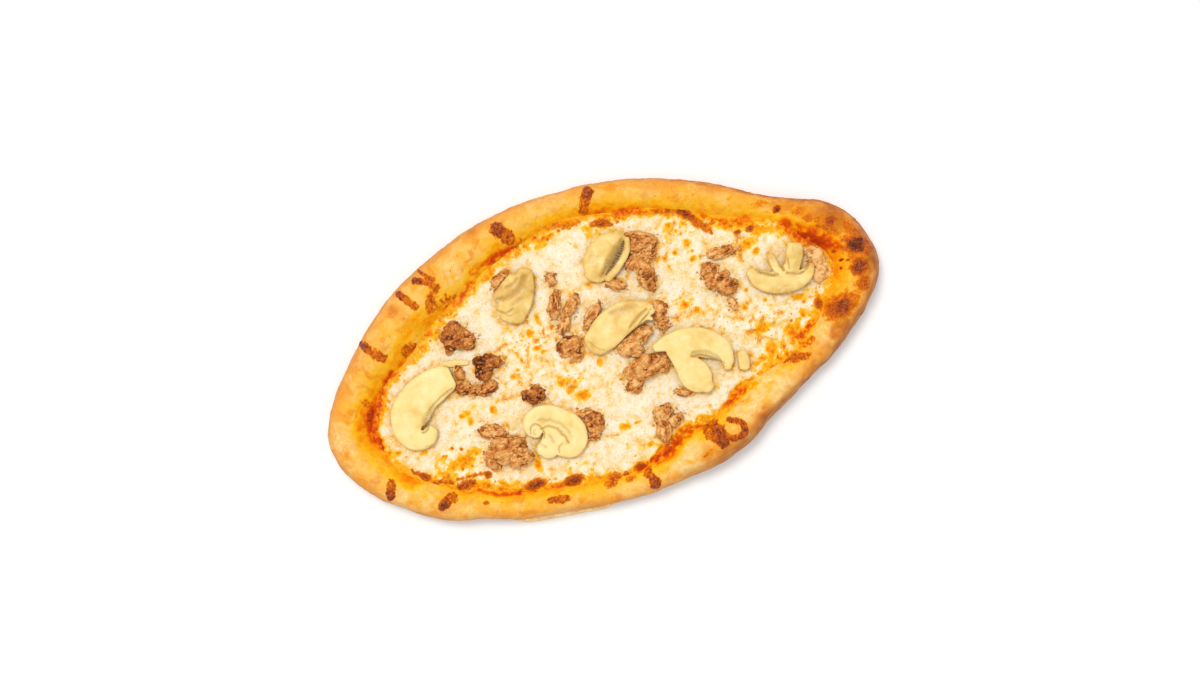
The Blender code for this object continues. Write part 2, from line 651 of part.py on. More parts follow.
def keep_largest(found):
    """Drops the scraps that a cut left loose, and merges corners that all but coincide."""
    mesh = bmesh.new()
    mesh.from_mesh(found.data)
    bmesh.ops.remove_doubles(mesh, verts=mesh.verts, dist=MERGE * MM)
    left = set(mesh.verts)
    pieces = []
    while left:
        piece, front = set(), [left.pop()]
        while front:
            vertex = front.pop()
            piece.add(vertex)
            near = [e.other_vert(vertex) for e in vertex.link_edges]
            front += [v for v in near if v in left]
            left.difference_update(near)
        pieces.append(piece)
    largest = max(pieces, key=len)
    bmesh.ops.delete(mesh, geom=[v for v in mesh.verts if v not in largest], context="VERTS")
    mesh.to_mesh(found.data)
    mesh.free()


def main():
    """Clears the scene and makes every piece."""
    for found in list(bpy.data.objects):
        bpy.data.objects.remove(found)
    collection = bpy.data.collections.new("peinirli")
    bpy.context.scene.collection.children.link(collection)
    stations = rim_stations()
    make_crust(stations, collection)
    make_sauce(stations, collection)
    make_cheese(stations, collection)
    make_tuna(make_mushrooms(collection), collection)


main()
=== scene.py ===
"""The looks of the peinirli: crust, sauce, cheese, mushroom slices and tuna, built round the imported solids.

Lengths are in millimetres, in the frame of the solids, until a piece is made. The first part repeats
the named sizes and the section rules of the solids, so that each piece keeps the form that it replaces.
"""

import math
import bmesh
import bpy
import numpy as np
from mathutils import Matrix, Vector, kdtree, noise


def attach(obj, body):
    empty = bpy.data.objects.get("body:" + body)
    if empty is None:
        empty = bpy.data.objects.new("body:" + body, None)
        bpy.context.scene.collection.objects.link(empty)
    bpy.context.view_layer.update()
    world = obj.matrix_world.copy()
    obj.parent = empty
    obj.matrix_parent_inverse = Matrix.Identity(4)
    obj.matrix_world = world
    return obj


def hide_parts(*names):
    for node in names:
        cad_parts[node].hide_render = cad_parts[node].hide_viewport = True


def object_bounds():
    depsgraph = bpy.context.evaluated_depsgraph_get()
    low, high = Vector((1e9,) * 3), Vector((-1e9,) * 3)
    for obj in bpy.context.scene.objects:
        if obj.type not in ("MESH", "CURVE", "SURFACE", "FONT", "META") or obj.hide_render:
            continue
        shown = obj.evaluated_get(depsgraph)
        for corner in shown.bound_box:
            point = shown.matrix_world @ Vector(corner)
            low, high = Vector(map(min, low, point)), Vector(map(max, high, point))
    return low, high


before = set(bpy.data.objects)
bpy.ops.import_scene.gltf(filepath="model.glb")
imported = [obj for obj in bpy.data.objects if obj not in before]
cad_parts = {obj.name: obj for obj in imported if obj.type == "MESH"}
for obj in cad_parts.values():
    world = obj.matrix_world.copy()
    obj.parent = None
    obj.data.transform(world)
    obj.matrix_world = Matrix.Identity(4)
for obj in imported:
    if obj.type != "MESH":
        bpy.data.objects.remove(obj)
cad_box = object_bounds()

MM = 0.001

# ---- Sizes shared with the solids ----
FLOOR = 7.0  # dough under the filling
FILL_LEVEL = 12.6  # where the filling meets the rim
FLANK = 6.0  # how far the rim's inner flank runs in below that level
CREST_BASE = 11.0  # the crest's height is this ...
CREST_SHARE = 0.5  # ... and this share of the rim's width
SPINE = 0.68  # sections point at the long axis, at this share of their own x
GAP = 0.35  # air between solids that touch
SAUCE = 1.1  # thickness of the tomato sauce
SAUCE_EDGE = FILL_LEVEL - 0.3  # height of its edge
CHEESE_CROWN = 0.9  # how much the cheese stands above the filling's level
SLICE = 4.0  # thickness of a mushroom slice where it is wide
SLICE_SLOPE = 0.75  # where it is narrow, half its thickness is this share of its half-width ...
SLICE_LEAST = 0.5  # ... and this much more
REST = 1.3 * GAP  # air between a topping and the highest cheese under it

# The rim, anticlockwise from the right tip: x and y of its widest line, and its width there.
RIM = (
    (154.9, -2, 24), (151, 15.5, 24.5), (138.5, 30.5, 22.5), (119.5, 39.5, 14), (105.5, 47.3, 13.5),
    (84, 60.8, 17), (54, 74.5, 16.5), (27, 82, 17.2), (0, 84.6, 16), (-28, 84.2, 21), (-57, 78.6, 25),
    (-90.5, 65.8, 27), (-113, 51.3, 27), (-136.5, 29.5, 22.5), (-148, 15.5, 24), (-154.9, 0, 25),
    (-153, -16, 23.5), (-145, -31, 20.5), (-132.5, -44, 17.5), (-117, -56.3, 18), (-102.5, -63.3, 16),
    (-91, -66.4, 15.5), (-68, -75, 15), (-46, -78.7, 14), (-28, -82, 14), (-5, -84.6, 14.5),
    (12, -83.6, 17), (27, -83, 22), (40, -81.5, 22.5), (55.8, -77.2, 22.5), (71.5, -68.5, 21.5),
    (86.5, -61.3, 19), (101.5, -54.3, 15.5), (114.3, -48.3, 17.5), (126.5, -40, 18.5), (139.6, -30, 22),
    (152, -16, 25),
)
# A lip of dough that spread out under the rim: x of its middle, half its length, and its reach.
LIP = (-48, 32, 2.6)
LIP_SHARE = 0.36  # share of the crest's height where the lip dies away
LIP_ENDS = 2.5  # how sharply it ends along the rim
# The rim's section from its foot to its crest: share of the rim's width, share of the crest's height.
OUTER_SECTION = (
    (0.3, 0), (0.09, 0.13), (0, 0.36), (0.025, 0.6), (0.11, 0.8), (0.24, 0.94), (0.4, 1),
)
# From the crest down to the filling: share of the rim's width, share of the crest's rise above it.
INNER_SECTION = ((0.56, 0.94), (0.71, 0.72), (0.86, 0.38), (1, 0))
# Lumps of the rim and of the cheese: size and depth, large and small.
RIM_LUMPS = ((21, 1.1), (8, 0.5))
CHEESE_LUMPS = ((17, 0.45), (8, 0.35))
SIDE_LUMPS = 0.6  # share of their depth on the rim's sides

# Cheese that ran over the rim and browned there: points (x, y, radius) along each strand, outer end first.
STRANDS = (
    ((20.5, 78, 3), (17.8, 73.5, 2.6), (15.5, 70, 1.9)),
    ((-31, 76, 3.6), (-28, 71.5, 3.4), (-26.5, 68, 2.2)),
    ((-81, 64.5, 2.1), (-76, 62.5, 1.6), (-71.5, 58, 1.5)),
    ((-77.5, 69, 1.1), (-74.5, 65, 1.2), (-71.5, 61.5, 1)),
    ((-91.5, 61, 1.8), (-88.5, 57, 1.9), (-85.5, 52, 1.4)),
    ((-118.5, 42.5, 2.2), (-115, 37.5, 2.2), (-110.5, 32, 1.7)),
    ((-132.5, -38, 2.2), (-131, -34.5, 2.4), (-129.5, -31, 1.6)),
    ((-108, -52, 2.4), (-104, -50.5, 3), (-102, -50, 2.2)),
    ((-54, -69, 1.4), (-49.5, -70, 1.9), (-45, -70.5, 1.5)),
    ((2, -79.5, 3), (1, -76, 2.3), (0, -73, 2)),
    ((43, -71, 3.2), (39.5, -66, 3.4), (37.5, -62.5, 2.4)),
    ((50, -61, 1.4), (55.5, -64.5, 1.8), (55, -70, 2), (48.5, -71, 1.7)),
)
# Bubbles baked dark on the rim: x, y, half-width.
BLISTERS = ((124.5, -25.5, 7.5), (144.5, 5.5, 5.4), (142.5, -8, 4.8), (112, 35.5, 2.2))
# Browned bubbles at the edge of the cheese: x, y, radius, height.
BUBBLES = ((-59, -57.5, 5.5, 1.5), (-39.5, -61.5, 5, 1.5), (-98, -42, 5, 1), (57, 36, 6, 0.9))
# Where the cheese left the sauce bare along the rim: x, y, width of the bare strip.
BARE_SAUCE = (
    (36, 62, 3.2), (88, 38, 3.6), (122, 16, 4.6), (-129, -1, 3.2), (-121, -31, 3.2), (17, -65, 3.6),
    (59, -50, 3.6),
)
BARE_REACH = 13  # how far along the rim each of those strips runs out

# Mushroom slices, as strokes of (x, y, half-width).
MUSHROOMS = {
    "mushroom_hooked": (
        ((-84.5, 10.8, 7.8), (-91, 9.5, 9.2), (-100, 6, 10), (-108, -0.5, 10.5), (-111.5, -8, 8.2),
         (-109.5, -14, 6.2), (-104, -15.5, 5), (-100, -12.5, 3.4)),
    ),
    "mushroom_spiral": (
        ((-46.5, -31, 2), (-48.2, -33.4, 2.2), (-50.8, -30.5, 3), (-49.8, -26.3, 3.9),
         (-45.3, -24, 4.4), (-39.3, -25.3, 4.9), (-33.4, -30, 5.4), (-29, -36.5, 5.9),
         (-29, -43.3, 5.4), (-34, -47.4, 4.3), (-40, -45.8, 3)),
        ((-41, -34.5, 3.6), (-42.5, -39.5, 5.4), (-45, -43, 5.4), (-48.5, -41.5, 3.8)),
    ),
    "mushroom_folded": (
        ((-25, 49, 4.2), (-28.5, 43.5, 6.6), (-34, 37.5, 8.6), (-39, 32, 8.2)),
        ((-43.5, 41.8, 3), (-38, 44.3, 3.8), (-32, 47.3, 4)),
    ),
    "mushroom_gilled": (
        ((10, 35.5, 6), (13.5, 41, 8.4), (20, 46.3, 8.4), (28, 49.4, 4.6)),
        ((15, 31.5, 2.4), (22, 36, 2.8), (28.5, 42, 2.8), (31.5, 47.5, 2)),
    ),
    "mushroom_long": (
        ((-2.5, 1.2, 7.2), (4, 4.4, 9), (12, 8, 9), (20, 9.8, 7.6), (28, 9.2, 4.4)),
        ((20, 4.5, 2.4), (25, 6, 2.8), (31, 8.3, 2)),
    ),
    "mushroom_arched": (
        ((26.5, -12, 2.4), (33.5, -12, 4.8), (42, -13.8, 7), (51, -18, 7.8), (58, -24, 6.4),
         (60, -30, 4.2), (58.8, -34.5, 2.4)),
        ((37, -16, 6.4), (38.5, -24, 6.4), (41, -32, 8.4), (43.5, -37.5, 7.2), (45.5, -41, 3.6)),
    ),
    "mushroom_stub": (((68.6, -30.6, 2.8), (68.2, -34, 3.2), (67.4, -37.4, 2.9)),),
    "mushroom_crescent": (
        ((87.5, 8.5, 2.8), (91, 3.5, 5.2), (97, -1, 5.6), (104, -3.7, 5), (111, -3.8, 4.4),
         (116.5, -1.6, 3.2), (118.8, 1, 1.9)),
        ((107.5, 0, 3), (110, 5, 4.2), (112.6, 10, 4.8), (114.2, 14, 4.2)),
        ((103.5, 0, 2.6), (101, 6, 2.2), (100.5, 13, 2.4)),
    ),
}
# How much the left and the right end of a slice are raised, beside the usual 0.
LIFTS = {
    "mushroom_hooked": (0, 0.8), "mushroom_folded": (0, 1.2), "mushroom_gilled": (0, 1.4),
    "mushroom_long": (0, 3.2), "mushroom_arched": (1.4, 0), "mushroom_crescent": (0, 1.6),
}

# Tuna flakes, as lobes of (x, y, half-length, half-width, degrees of turn, height).
TUNA = {
    "tuna_ball": (
        (-72.5, 29, 7.2, 6.6, 20, 6.2), (-71.5, 33, 5.4, 4.8, 70, 5.6), (-66.5, 26, 4.4, 5, 0, 5),
    ),
    "tuna_wedge": ((-60.5, 11.5, 7.2, 4.4, -22, 5), (-63.5, 7.5, 4.8, 4.6, 0, 5.6)),
    "tuna_trail": (
        (-76.5, 2.4, 4.6, 3.2, 10, 3.2), (-70.5, -0.8, 5, 3, -20, 2.8), (-65, -1.8, 5.8, 3.6, 10, 3.4),
    ),
    "tuna_sliver": ((-76.3, 11.5, 2.4, 4.6, 0, 2.6),),
    "tuna_dark": ((-42.8, -13.6, 6, 4.2, -10, 3.8),),
    "tuna_heap": (
        (-70, -24.5, 7.4, 3.8, -35, 3.8), (-66, -36, 10.5, 6.8, -10, 6.4), (-61, -42.5, 6.4, 4.6, -15, 6),
        (-74.5, -38.5, 4.2, 5.4, 20, 4.4),
    ),
    "tuna_edge": (
        (-17.5, -38, 4.6, 6.2, 0, 4.2), (-21, -32, 4, 2.4, -10, 3), (-19.5, -44.5, 3.2, 2.4, 20, 2.8),
    ),
    "tuna_crumbled": ((-16.5, 4.5, 6.8, 5.4, 10, 4.4), (-14.5, -1.8, 3.2, 2.6, 0, 3)),
    "tuna_splinter": ((-16.2, 27.6, 7.6, 3, 60, 3.4),),
    "tuna_split": ((-9, 23.5, 7.4, 3.2, 45, 4.4), (-14.5, 17, 6, 3, 55, 3.2)),
    "tuna_sprig": ((1, 15.8, 7.4, 3, 40, 4),),
    "tuna_under": (
        (13.5, -6.5, 5.8, 5, 0, 4.6), (21, -3, 7, 3.8, 18, 4.6), (16.5, -10, 3.8, 3, 0, 3.4),
    ),
    "tuna_tail": ((35, 5.5, 3.6, 6.4, -20, 3.4), (35, -1.6, 2.8, 2.6, 0, 2.6)),
    "tuna_large": (
        (37, 44, 9.8, 5.4, -20, 6.2), (38, 37.5, 6.4, 5.6, 0, 5.6), (30, 34.5, 4.4, 3.2, 20, 3.6),
        (35, 26.2, 4.6, 9.6, 8, 4.4),
    ),
    "tuna_nub": ((18, 27, 5.2, 2.8, -35, 3.2),),
    "tuna_block": (
        (17.5, -19.5, 10.6, 6.2, 8, 6.6), (26.5, -21.5, 4.6, 4, 0, 4.8), (9.5, -27, 4.6, 3.8, 10, 4),
    ),
    "tuna_lower": (
        (18.5, -45.5, 5.4, 4, 20, 5.2), (16, -53, 7.6, 3.8, 75, 5.2), (23.5, -51, 4.2, 2.8, 15, 4.2),
    ),
    "tuna_arc": ((76.5, 24, 7.6, 2.8, -6, 3.2),),
    "tuna_crumb": (
        (67.5, 16.5, 4.6, 5, 0, 4), (69.5, 10.5, 6.6, 4, 10, 5), (73.5, 5.6, 5.4, 4.4, 0, 6),
    ),
    "tuna_speck": ((73, -4, 2.2, 3.6, 0, 2.2),),
    "tuna_pale": ((123, 5, 3.8, 5.4, 10, 2.8), (121.5, -3.5, 4.2, 5, 0, 3.4)),
    "tuna_top": ((-38.5, 50.8, 6.2, 2.6, 25, 3.6),),
    "tuna_bit": ((-13, 41.5, 2.4, 3.4, 0, 2.2),),
    "tuna_fold": ((33, -39.2, 5, 1.8, -22, 2.4),),
}
LOBE_CRAG = 0.20  # depth of the crags, as a share of a lobe's size
LOBE_GRAIN = (1.1, 2.4, 2.4)  # how closely the crags follow one another along a lobe, across and up
LOBE_LIFT = 0.15  # height of a lobe's middle over its flat underside, as a share of its own height

# ---- Places that only the looks need ----
# Browner areas of the crust, then paler ones, several of which are painted highlights on the inner slope: x,
# y, reach, strength.
TOASTED = (
    (150, -4, 15, 0.6), (138, 24, 15, 0.46), (116, 40, 13, 0.34), (122, -38, 11, 0.24), (104, -44, 6, 0.2),
    (66, -75, 12, 0.35), (46, -80, 12, 0.35), (98, -58, 14, 0.35), (128, -40, 14, 0.35), (33, -74, 7, 0.2),
    (60, 76, 18, 0.25), (-44, 80, 5, 0.4), (-97.5, 53.5, 4, 0.5), (-140, 24, 12, 0.2), (84, 62, 10, 0.25),
    (20, 84, 12, 0.2), (-60, -74, 14, 0.15), (70, -65, 5, 0.5),
)
PALE_AND_HIGHLIT = (
    (-143, -6, 10, 0.5), (-128, -42, 12, 0.7), (-100, -57, 10, 0.5), (22, -75, 14, 0.8), (55, -62, 9, 0.5),
    (80, -54, 12, 0.7), (118, -36, 9, 0.8), (147, -18, 6, 0.7), (-62, 64, 8, 0.4), (-88, 50, 8, 0.4),
    (0, 76, 12, 0.45), (-120, 38, 10, 0.3), (150, 6, 4, 0.3), (-20, 72, 8, 0.3), (48, 66, 8, 0.4),
    (-50, -84, 10, 0.6), (-10, -82, 12, 0.4), (-154, -2, 12, 0.5), (80, -51, 10, 1), (60, -59, 8, 0.9),
    (21, -71, 9, 0.9), (-115, -41, 8, 0.8), (-60, 60, 6, 0.6), (98, -44, 8, 0.4), (66, -55, 7, 1),
    (115, -33, 7, 1), (149.5, -10, 5, 0.9), (-90, 35, 6, 0.9),
)
# Soft browned areas on the rim: x, y, half-length, half-width, degrees of turn, darkness.
SMEARS = (
    (144, 3.8, 7.4, 4.5, -20, 0.92), (144.6, 3.6, 9.4, 6.2, -20, 0.6), (148, 0.5, 3, 4, -20, 0.56),
    (146, 9, 7, 4.5, -50, 0.46), (142.2, -8.8, 5, 6.4, 0, 0.74), (151, 4, 3.5, 8, 0, 0.4),
    (141.8, -17, 6.5, 6.5, 10, 0.5), (-86, -58.5, 1.6, 1.3, 0, 0.55), (127, -24, 10, 7.5, 20, 0.54),
    (44, -65, 6, 5, 0, 0.34), (34, -73.5, 4.2, 1.3, 20, 0.52), (105, 41, 7, 2.5, 0, 0.3),
    (134.5, 20.5, 7.5, 4, -30, 0.66), (133, 17, 8, 3.4, -42, 0.48), (140, 3, 4.2, 5, 0, 0.52),
    (125, 26, 7, 3, -35, 0.38), (150, -2, 3.6, 4, 0, 0.56), (128.5, 19.5, 0.7, 1.2, 0, 0.66),
    (-92, 62, 9, 3, 35, 0.22), (122, 30, 9, 3.5, -35, 0.34), (143, 16, 7, 4, -60, 0.4),
)
# Granular browned cheese that climbed the rim: x, y, half-length, half-width, degrees of turn, darkness.
GRITTY = (
    (43, -65, 4.2, 7.2, 28, 0.6), (-77.5, 51, 6.5, 2.8, 60, 0.44), (-69, 49, 7.5, 3.2, 15, 0.32),
    (-96.4, 31.2, 4.4, 4.4, 0, 0.46), (-72, 56, 3, 2, 20, 0.42), (103, -37, 6, 2.2, 25, 0.34),
    (-128, 4.5, 2.8, 3.6, 0, 0.5), (-128, 12, 2, 4, 20, 0.34), (-24, 65, 5, 1.8, 10, 0.3),
    (16, 67, 2, 3, 10, 0.36), (133, 4, 1.4, 1.2, 0, 0.5), (134.8, -1.8, 1.1, 0.8, 0, 0.74),
    (133.3, -5.8, 1.1, 0.8, 30, 0.7), (137.5, -3, 1.4, 0.8, 0, 0.5), (132, 10, 1, 0.8, 0, 0.5),
    (97, -43, 7, 2.2, 0, 0.44), (-19.5, -71.5, 4.6, 2.4, 0, 0.36), (-10, -72.8, 3.4, 1.6, 0, 0.34),
    (-90, -50, 5, 1.6, 0, 0.36),
)
# Where the rim's inner slope holds more oil, and less where the strength is below 0: x, y, reach, strength.
# Most rows near -1 clear the oil under painted highlights.
OILIER = (
    (-134, 5, 24, 0.75), (128, 10, 18, 0.75), (92, 43, 20, -0.15), (10, 72, 34, 0.15), (-98, 48, 20, 0.35),
    (-112, -42, 14, -0.6), (-60, -66, 24, 0.1), (78, -52, 20, -0.95), (62, -60, 12, -1),
    (24, -74, 11, -0.9), (-57, 60, 10, -0.6), (118, -24, 14, -0.2), (40, -60, 8, 0.5),
    (-130, -14, 10, -0.3), (14, -67, 7, 1), (-120, -34, 7, 1), (-38, 66, 10, 0.6), (115, -33, 8, -1),
    (-90, 35, 6, -0.9), (-100, 28, 5, 0.5), (-95, 46, 10, 0.6), (-53, 59, 7, 0.6), (24, 70, 9, 0.7),
    (-45, 62, 4, -0.8),
)
# Where tomato sauce stains the rim's foot and the edge of the cheese: points (x, y, half-width).
STAINS = (
    ((-52, 59, 1.2), (-42.5, 61, 1.4), (-35.5, 63, 1.6), (-27.5, 63.5, 1.4)),
    ((-62.5, 47.5, 1.4), (-58.5, 51.5, 2), (-54.5, 54, 1.4)),
    (
        (-110, 24, 1.4), (-115, 18.5, 2), (-120, 12.5, 2.3), (-127, 6, 3), (-129.5, -5.5, 2.7),
        (-128, -12, 1.8),
    ),
    ((-3, -69.5, 2.1), (9, -67.5, 2.4), (16.5, -64, 3.4), (25, -61, 3.2), (34.5, -58, 2.2)),
    ((113.5, 27, 2.2), (118.5, 19.5, 3.4), (124.5, 14.5, 3.8), (130.5, 11, 3.2), (135.5, 6.5, 2)),
    ((77.5, 40.5, 1.8), (86, 36, 2.3), (95, 36, 2)),
    ((98, -33.5, 1.8), (109, -28, 2.5)),
    ((51.5, -55, 2), (59.5, -50, 2.7), (70.5, -48, 1.4)),
    ((30, 62.5, 1.4), (39.5, 61, 1.8), (46.5, 58, 1.2)),
    ((73.5, 46.5, 1.1), (77, 41.5, 1.4), (88, 35.5, 2.1)),
    ((-88, -51, 0.9), (-80, -56.5, 1.1), (-68, -60, 0.9)),
)
# Where those stains are reddest: x, y, reach, strength.
REDDER = (
    (122, 17, 11, 0.7), (133, 11, 7, 0.8), (-127, 3, 9, 0.5), (16, -65, 9, 0.5), (-38, 63, 8, 0.5),
    (60, -50, 7, 0.6),
)
# How much darker the outer end of each strand is than the rest of it.
BURNT_ENDS = (0.24, 0.27, 0.3, 0.2, 0.22, 0.3, 0.22, 0.26, 0.04, 0.2, 0.26, 0.22)
# Ridges of cheese that browned along the edge: darkness, then points (x, y, half-width).
RIDGES = (
    (0.3, ((-23, 65.5, 1.6), (-15.5, 68.5, 1.6), (-7.5, 69, 1.4), (2, 66.5, 1.6), (10.5, 64.5, 1.6))),
    (0.44, ((18, 61, 1.6), (23, 60.5, 2.3), (26, 58, 1.2))),
    (0.58, ((-122, -28, 1.1), (-115.5, -32.5, 1.6), (-110.5, -35.5, 1.4))),
    (0.48, ((-108.5, -38.5, 0.8), (-100, -42.5, 1.1))),
    (0.6, ((-97, -46.8, 1.4), (-93, -46.6, 2), (-89.5, -46, 1.2))),
    (0.34, ((-97, -42, 0.7), (-91, -42.5, 0.9), (-85, -43, 0.8), (-81, -44.5, 0.9))),
    (0.3, ((30, 61, 1), (40, 59.5, 1.1), (48.5, 56.5, 1.2), (55.5, 55, 1.4), (60.5, 53, 1.1))),
    (0.72, ((63, 53, 1.4), (65.5, 50.5, 1.9), (68, 47.5, 1.6))),
    (0.44, ((67.5, 48, 1.6), (70, 43.5, 1.8), (73, 39.5, 2), (75, 36, 1.2))),
    (0.52, ((88, -43.5, 1.1), (95, -41.5, 1.6), (100.5, -46, 1.2))),
)
# Glossy blobs of browned cheese: x, y, half-length, half-width, darkness.
BLOBS = (
    (-58.5, -58.5, 5.7, 2.8, 0.9), (-39, -63.5, 5.5, 3, 0.9), (-3, -68.5, 3, 2.5, 0.5),
    (-11, -70, 1.8, 1.8, 0.35), (-17.5, -70, 4.4, 3.6, 0.1), (95.5, 30.5, 2.4, 1.8, 0.7),
    (88.5, 31, 2, 1.4, 0.7), (66, 50, 3.2, 2, 0.8), (22, 60, 2.8, 1.5, 0.6), (51.5, 56, 1.5, 1.1, 0.4),
    (57.5, 54.5, 2, 1.3, 0.4), (-80.5, -45, 2.1, 2, 0.45), (-121, -28.5, 1.8, 1.2, 0.7),
    (116, -19.5, 2.3, 3.2, 0.5), (-110.5, 25, 0.8, 0.8, 0.9), (-114.5, 22, 0.7, 0.7, 0.9),
)
# Spots of orange oil on the cheese: x, y, half-length, half-width.
OIL_SPOTS = (
    (-55.5, 60, 1.8, 1.8), (-82.5, 42.5, 2.7, 1.8), (-87.5, 42, 1.8, 1.4), (-83.5, 35.5, 1.6, 2.3),
    (-12, 62.5, 4.4, 1.4), (-109, -22.5, 2.7, 1.2), (-90.5, -34, 7.1, 4), (-82.5, -32, 2, 1.8),
    (-97, -35.5, 2.7, 1.8), (-53.5, -48.5, 2.1, 4.4), (-80, -10.5, 2.3, 1.8), (-79.5, -15, 1.6, 2),
    (-83, -11, 1.6, 1.4), (-27, -12.5, 2.7, 2.3), (-23, -12, 2, 1.6), (-24, -18, 2.3, 1.8),
    (-18.5, -22.5, 4.4, 3), (-27, -9.5, 1.2, 1.1), (-4, -9, 1.8, 2.1), (-3, -46, 3, 2.1),
    (3.5, -46, 2.1, 0.9), (6.5, -59, 2.3, 1.4), (-66, -13.5, 1.8, 2.3), (-33.5, 18, 2.3, 2.3),
    (-33, 9.5, 2.1, 1.8), (-30, 6.5, 2, 1.1), (-27.5, 24.5, 1.2, 3), (-50, -0.5, 1.6, 1.2),
    (-46.5, 2, 1.4, 1.1), (91.5, 23.5, 4, 3), (94.5, 18.5, 2.5, 1.8), (103.5, 27, 3, 1.8),
    (110, 25.5, 2.3, 1.6), (61, 34.5, 1.8, 2.1), (61.5, 26, 1.8, 1.6), (107.5, -12.5, 3.2, 1.6),
    (82.5, 0.5, 1.4, 1.2), (78.5, -8.5, 1.8, 1.6), (90, -8, 1.2, 1.2), (83.5, -21.5, 4.8, 3.4),
    (84.5, -33.5, 3.7, 4.4), (78.5, -36.5, 3, 2), (74.5, -38.5, 2, 1.2), (87, -40.5, 3.2, 2.1),
    (55, 46.5, 2.1, 2), (58, 43, 1.2, 1.2), (53.5, 32, 1.6, 1.4), (62.5, 30, 1.1, 0.9),
    (47.5, 31, 1.1, 1.2), (49, 4.5, 3, 2.3), (54, -0.5, 2.3, 1.8), (98, -28, 4.2, 3.6),
    (107, -21.5, 2.7, 2.3), (-121.5, -18, 2.4, 1.6), (24, -57.5, 2.3, 2),
)
# Areas where orange oil and browned bits break through the cheese: x, y, half-length, half-width, strength.
OILY_AREAS = (
    (-92, -34, 17, 9, 1), (-84, 42, 11, 8, 0.9), (-96, 33, 7, 5, 0.9), (86, -36, 12, 6, 0.8),
    (101, -27, 9, 7, 0.8), (-69, 44, 10, 5, 1), (95, 27, 12, 6, 0.9), (62, 44, 12, 7, 0.7),
    (-12, 63, 24, 4.5, 0.9), (25, 58, 16, 5, 0.9), (50, 3, 7, 4, 0.5), (-23, -14, 10, 6, 0.6),
    (-34, 13, 12, 7, 0.4), (112, -14, 8, 8, 0.7), (-60, 55, 14, 4, 0.6), (5, -62, 16, 4, 0.6),
    (36, -55, 12, 5, 0.6), (-45, -58, 20, 4, 0.6), (66, -46, 12, 5, 0.6), (112, 20, 8, 8, 0.6),
    (120, 8, 5, 10, 0.5), (-118, 10, 5, 16, 0.6), (-116, -16, 7, 8, 0.6), (-77, -12, 6, 5, 0.5),
    (60, 32, 7, 8, 0.4), (78, 0, 10, 6, 0.35), (10, -44, 12, 5, 0.3), (-56, 9, 10, 7, 0.35),
)
# Areas where the cheese is thin and peach-coloured with oil: x, y, half-length, half-width, strength.
HAZES = (
    (-38, 14, 20, 11, 0.9), (-40, -3, 24, 8, 0.6), (-20, -14, 12, 9, 0.6), (-8, 6, 14, 12, 0.5),
    (88, -22, 22, 16, 0.8), (66, -8, 16, 10, 0.6), (56, 38, 16, 13, 0.6), (92, 24, 12, 7, 0.7),
    (48, 5, 10, 8, 0.7), (-90, -34, 12, 7, 0.6), (-86, 40, 12, 8, 0.5), (-60, -12, 14, 6, 0.4),
    (75, -40, 14, 6, 0.7), (0, -50, 14, 8, 0.35), (104, -16, 12, 10, 0.6), (-76, 48, 10, 6, 0.7),
    (36, -52, 14, 5, 0.4), (-66, -30, 14, 12, 0.4),
)
# Whitest cheese: x, y, half-length, half-width, strength.
WHITES = (
    (-8, 48, 26, 10, 0.9), (-60, 44, 12, 8, 0.6), (8, -12, 6, 6, 0.8), (18, -34, 18, 9, 0.8),
    (44, 17, 8, 8, 0.8), (-80, -24, 14, 9, 0.6), (-58, 28, 10, 8, 0.7), (-52, 18, 6, 6, 0.5),
    (-30, -56, 22, 4, 0.6), (5, -40, 14, 8, 0.7), (84, 10, 8, 8, 0.5), (100, -14, 8, 5, 0.4),
    (-95, 22, 8, 5, 0.6), (-70, -5, 10, 5, 0.4), (40, -45, 12, 6, 0.6), (-20, 35, 12, 8, 0.6),
)
# Flesh that closes the gaps between a slice's strokes.
FILLINGS = {
    "mushroom_spiral": (
        ((-45.5, -31.5, 2.2), (-41.5, -32.5, 3.2), (-37.5, -36.5, 3.6), (-35.5, -41.5, 3.4)),
        ((-36.5, -41, 3.4), (-39, -44, 2.8)), ((-47.4, -28.8, 1.6), (-44.8, -28.2, 1.8)),
    ),
    "mushroom_crescent": (((106, -1, 2.6), (106.2, 2.5, 2), (106, 5.5, 1.5)),),
    "mushroom_folded": (((-40, 39.5, 5), (-34, 43, 5)),),
    "mushroom_gilled": (((14.5, 36, 5), (20, 40.5, 5.5), (26.5, 45.5, 4)),),
    "mushroom_long": (
        ((16, 5.5, 5), (24, 7.5, 4)), ((27.5, 9.6, 1.7), (30, 10.2, 1.3), (32.2, 9.4, 0.8)),
        ((26, 4.6, 1), (28.4, 4.2, 0.9), (29.6, 3, 0.7)),
        ((28.4, 6.4, 1), (31, 6.4, 0.8), (32.4, 7.2, 0.7)),
    ),
}
# A thin shaving of mushroom that lies beside the hooked slice: points (x, y, half-width).
SHAVING = ((-88, 17.2, 1.2), (-82, 17.8, 1.7), (-75, 16.2, 1.6), (-70, 14.8, 1))
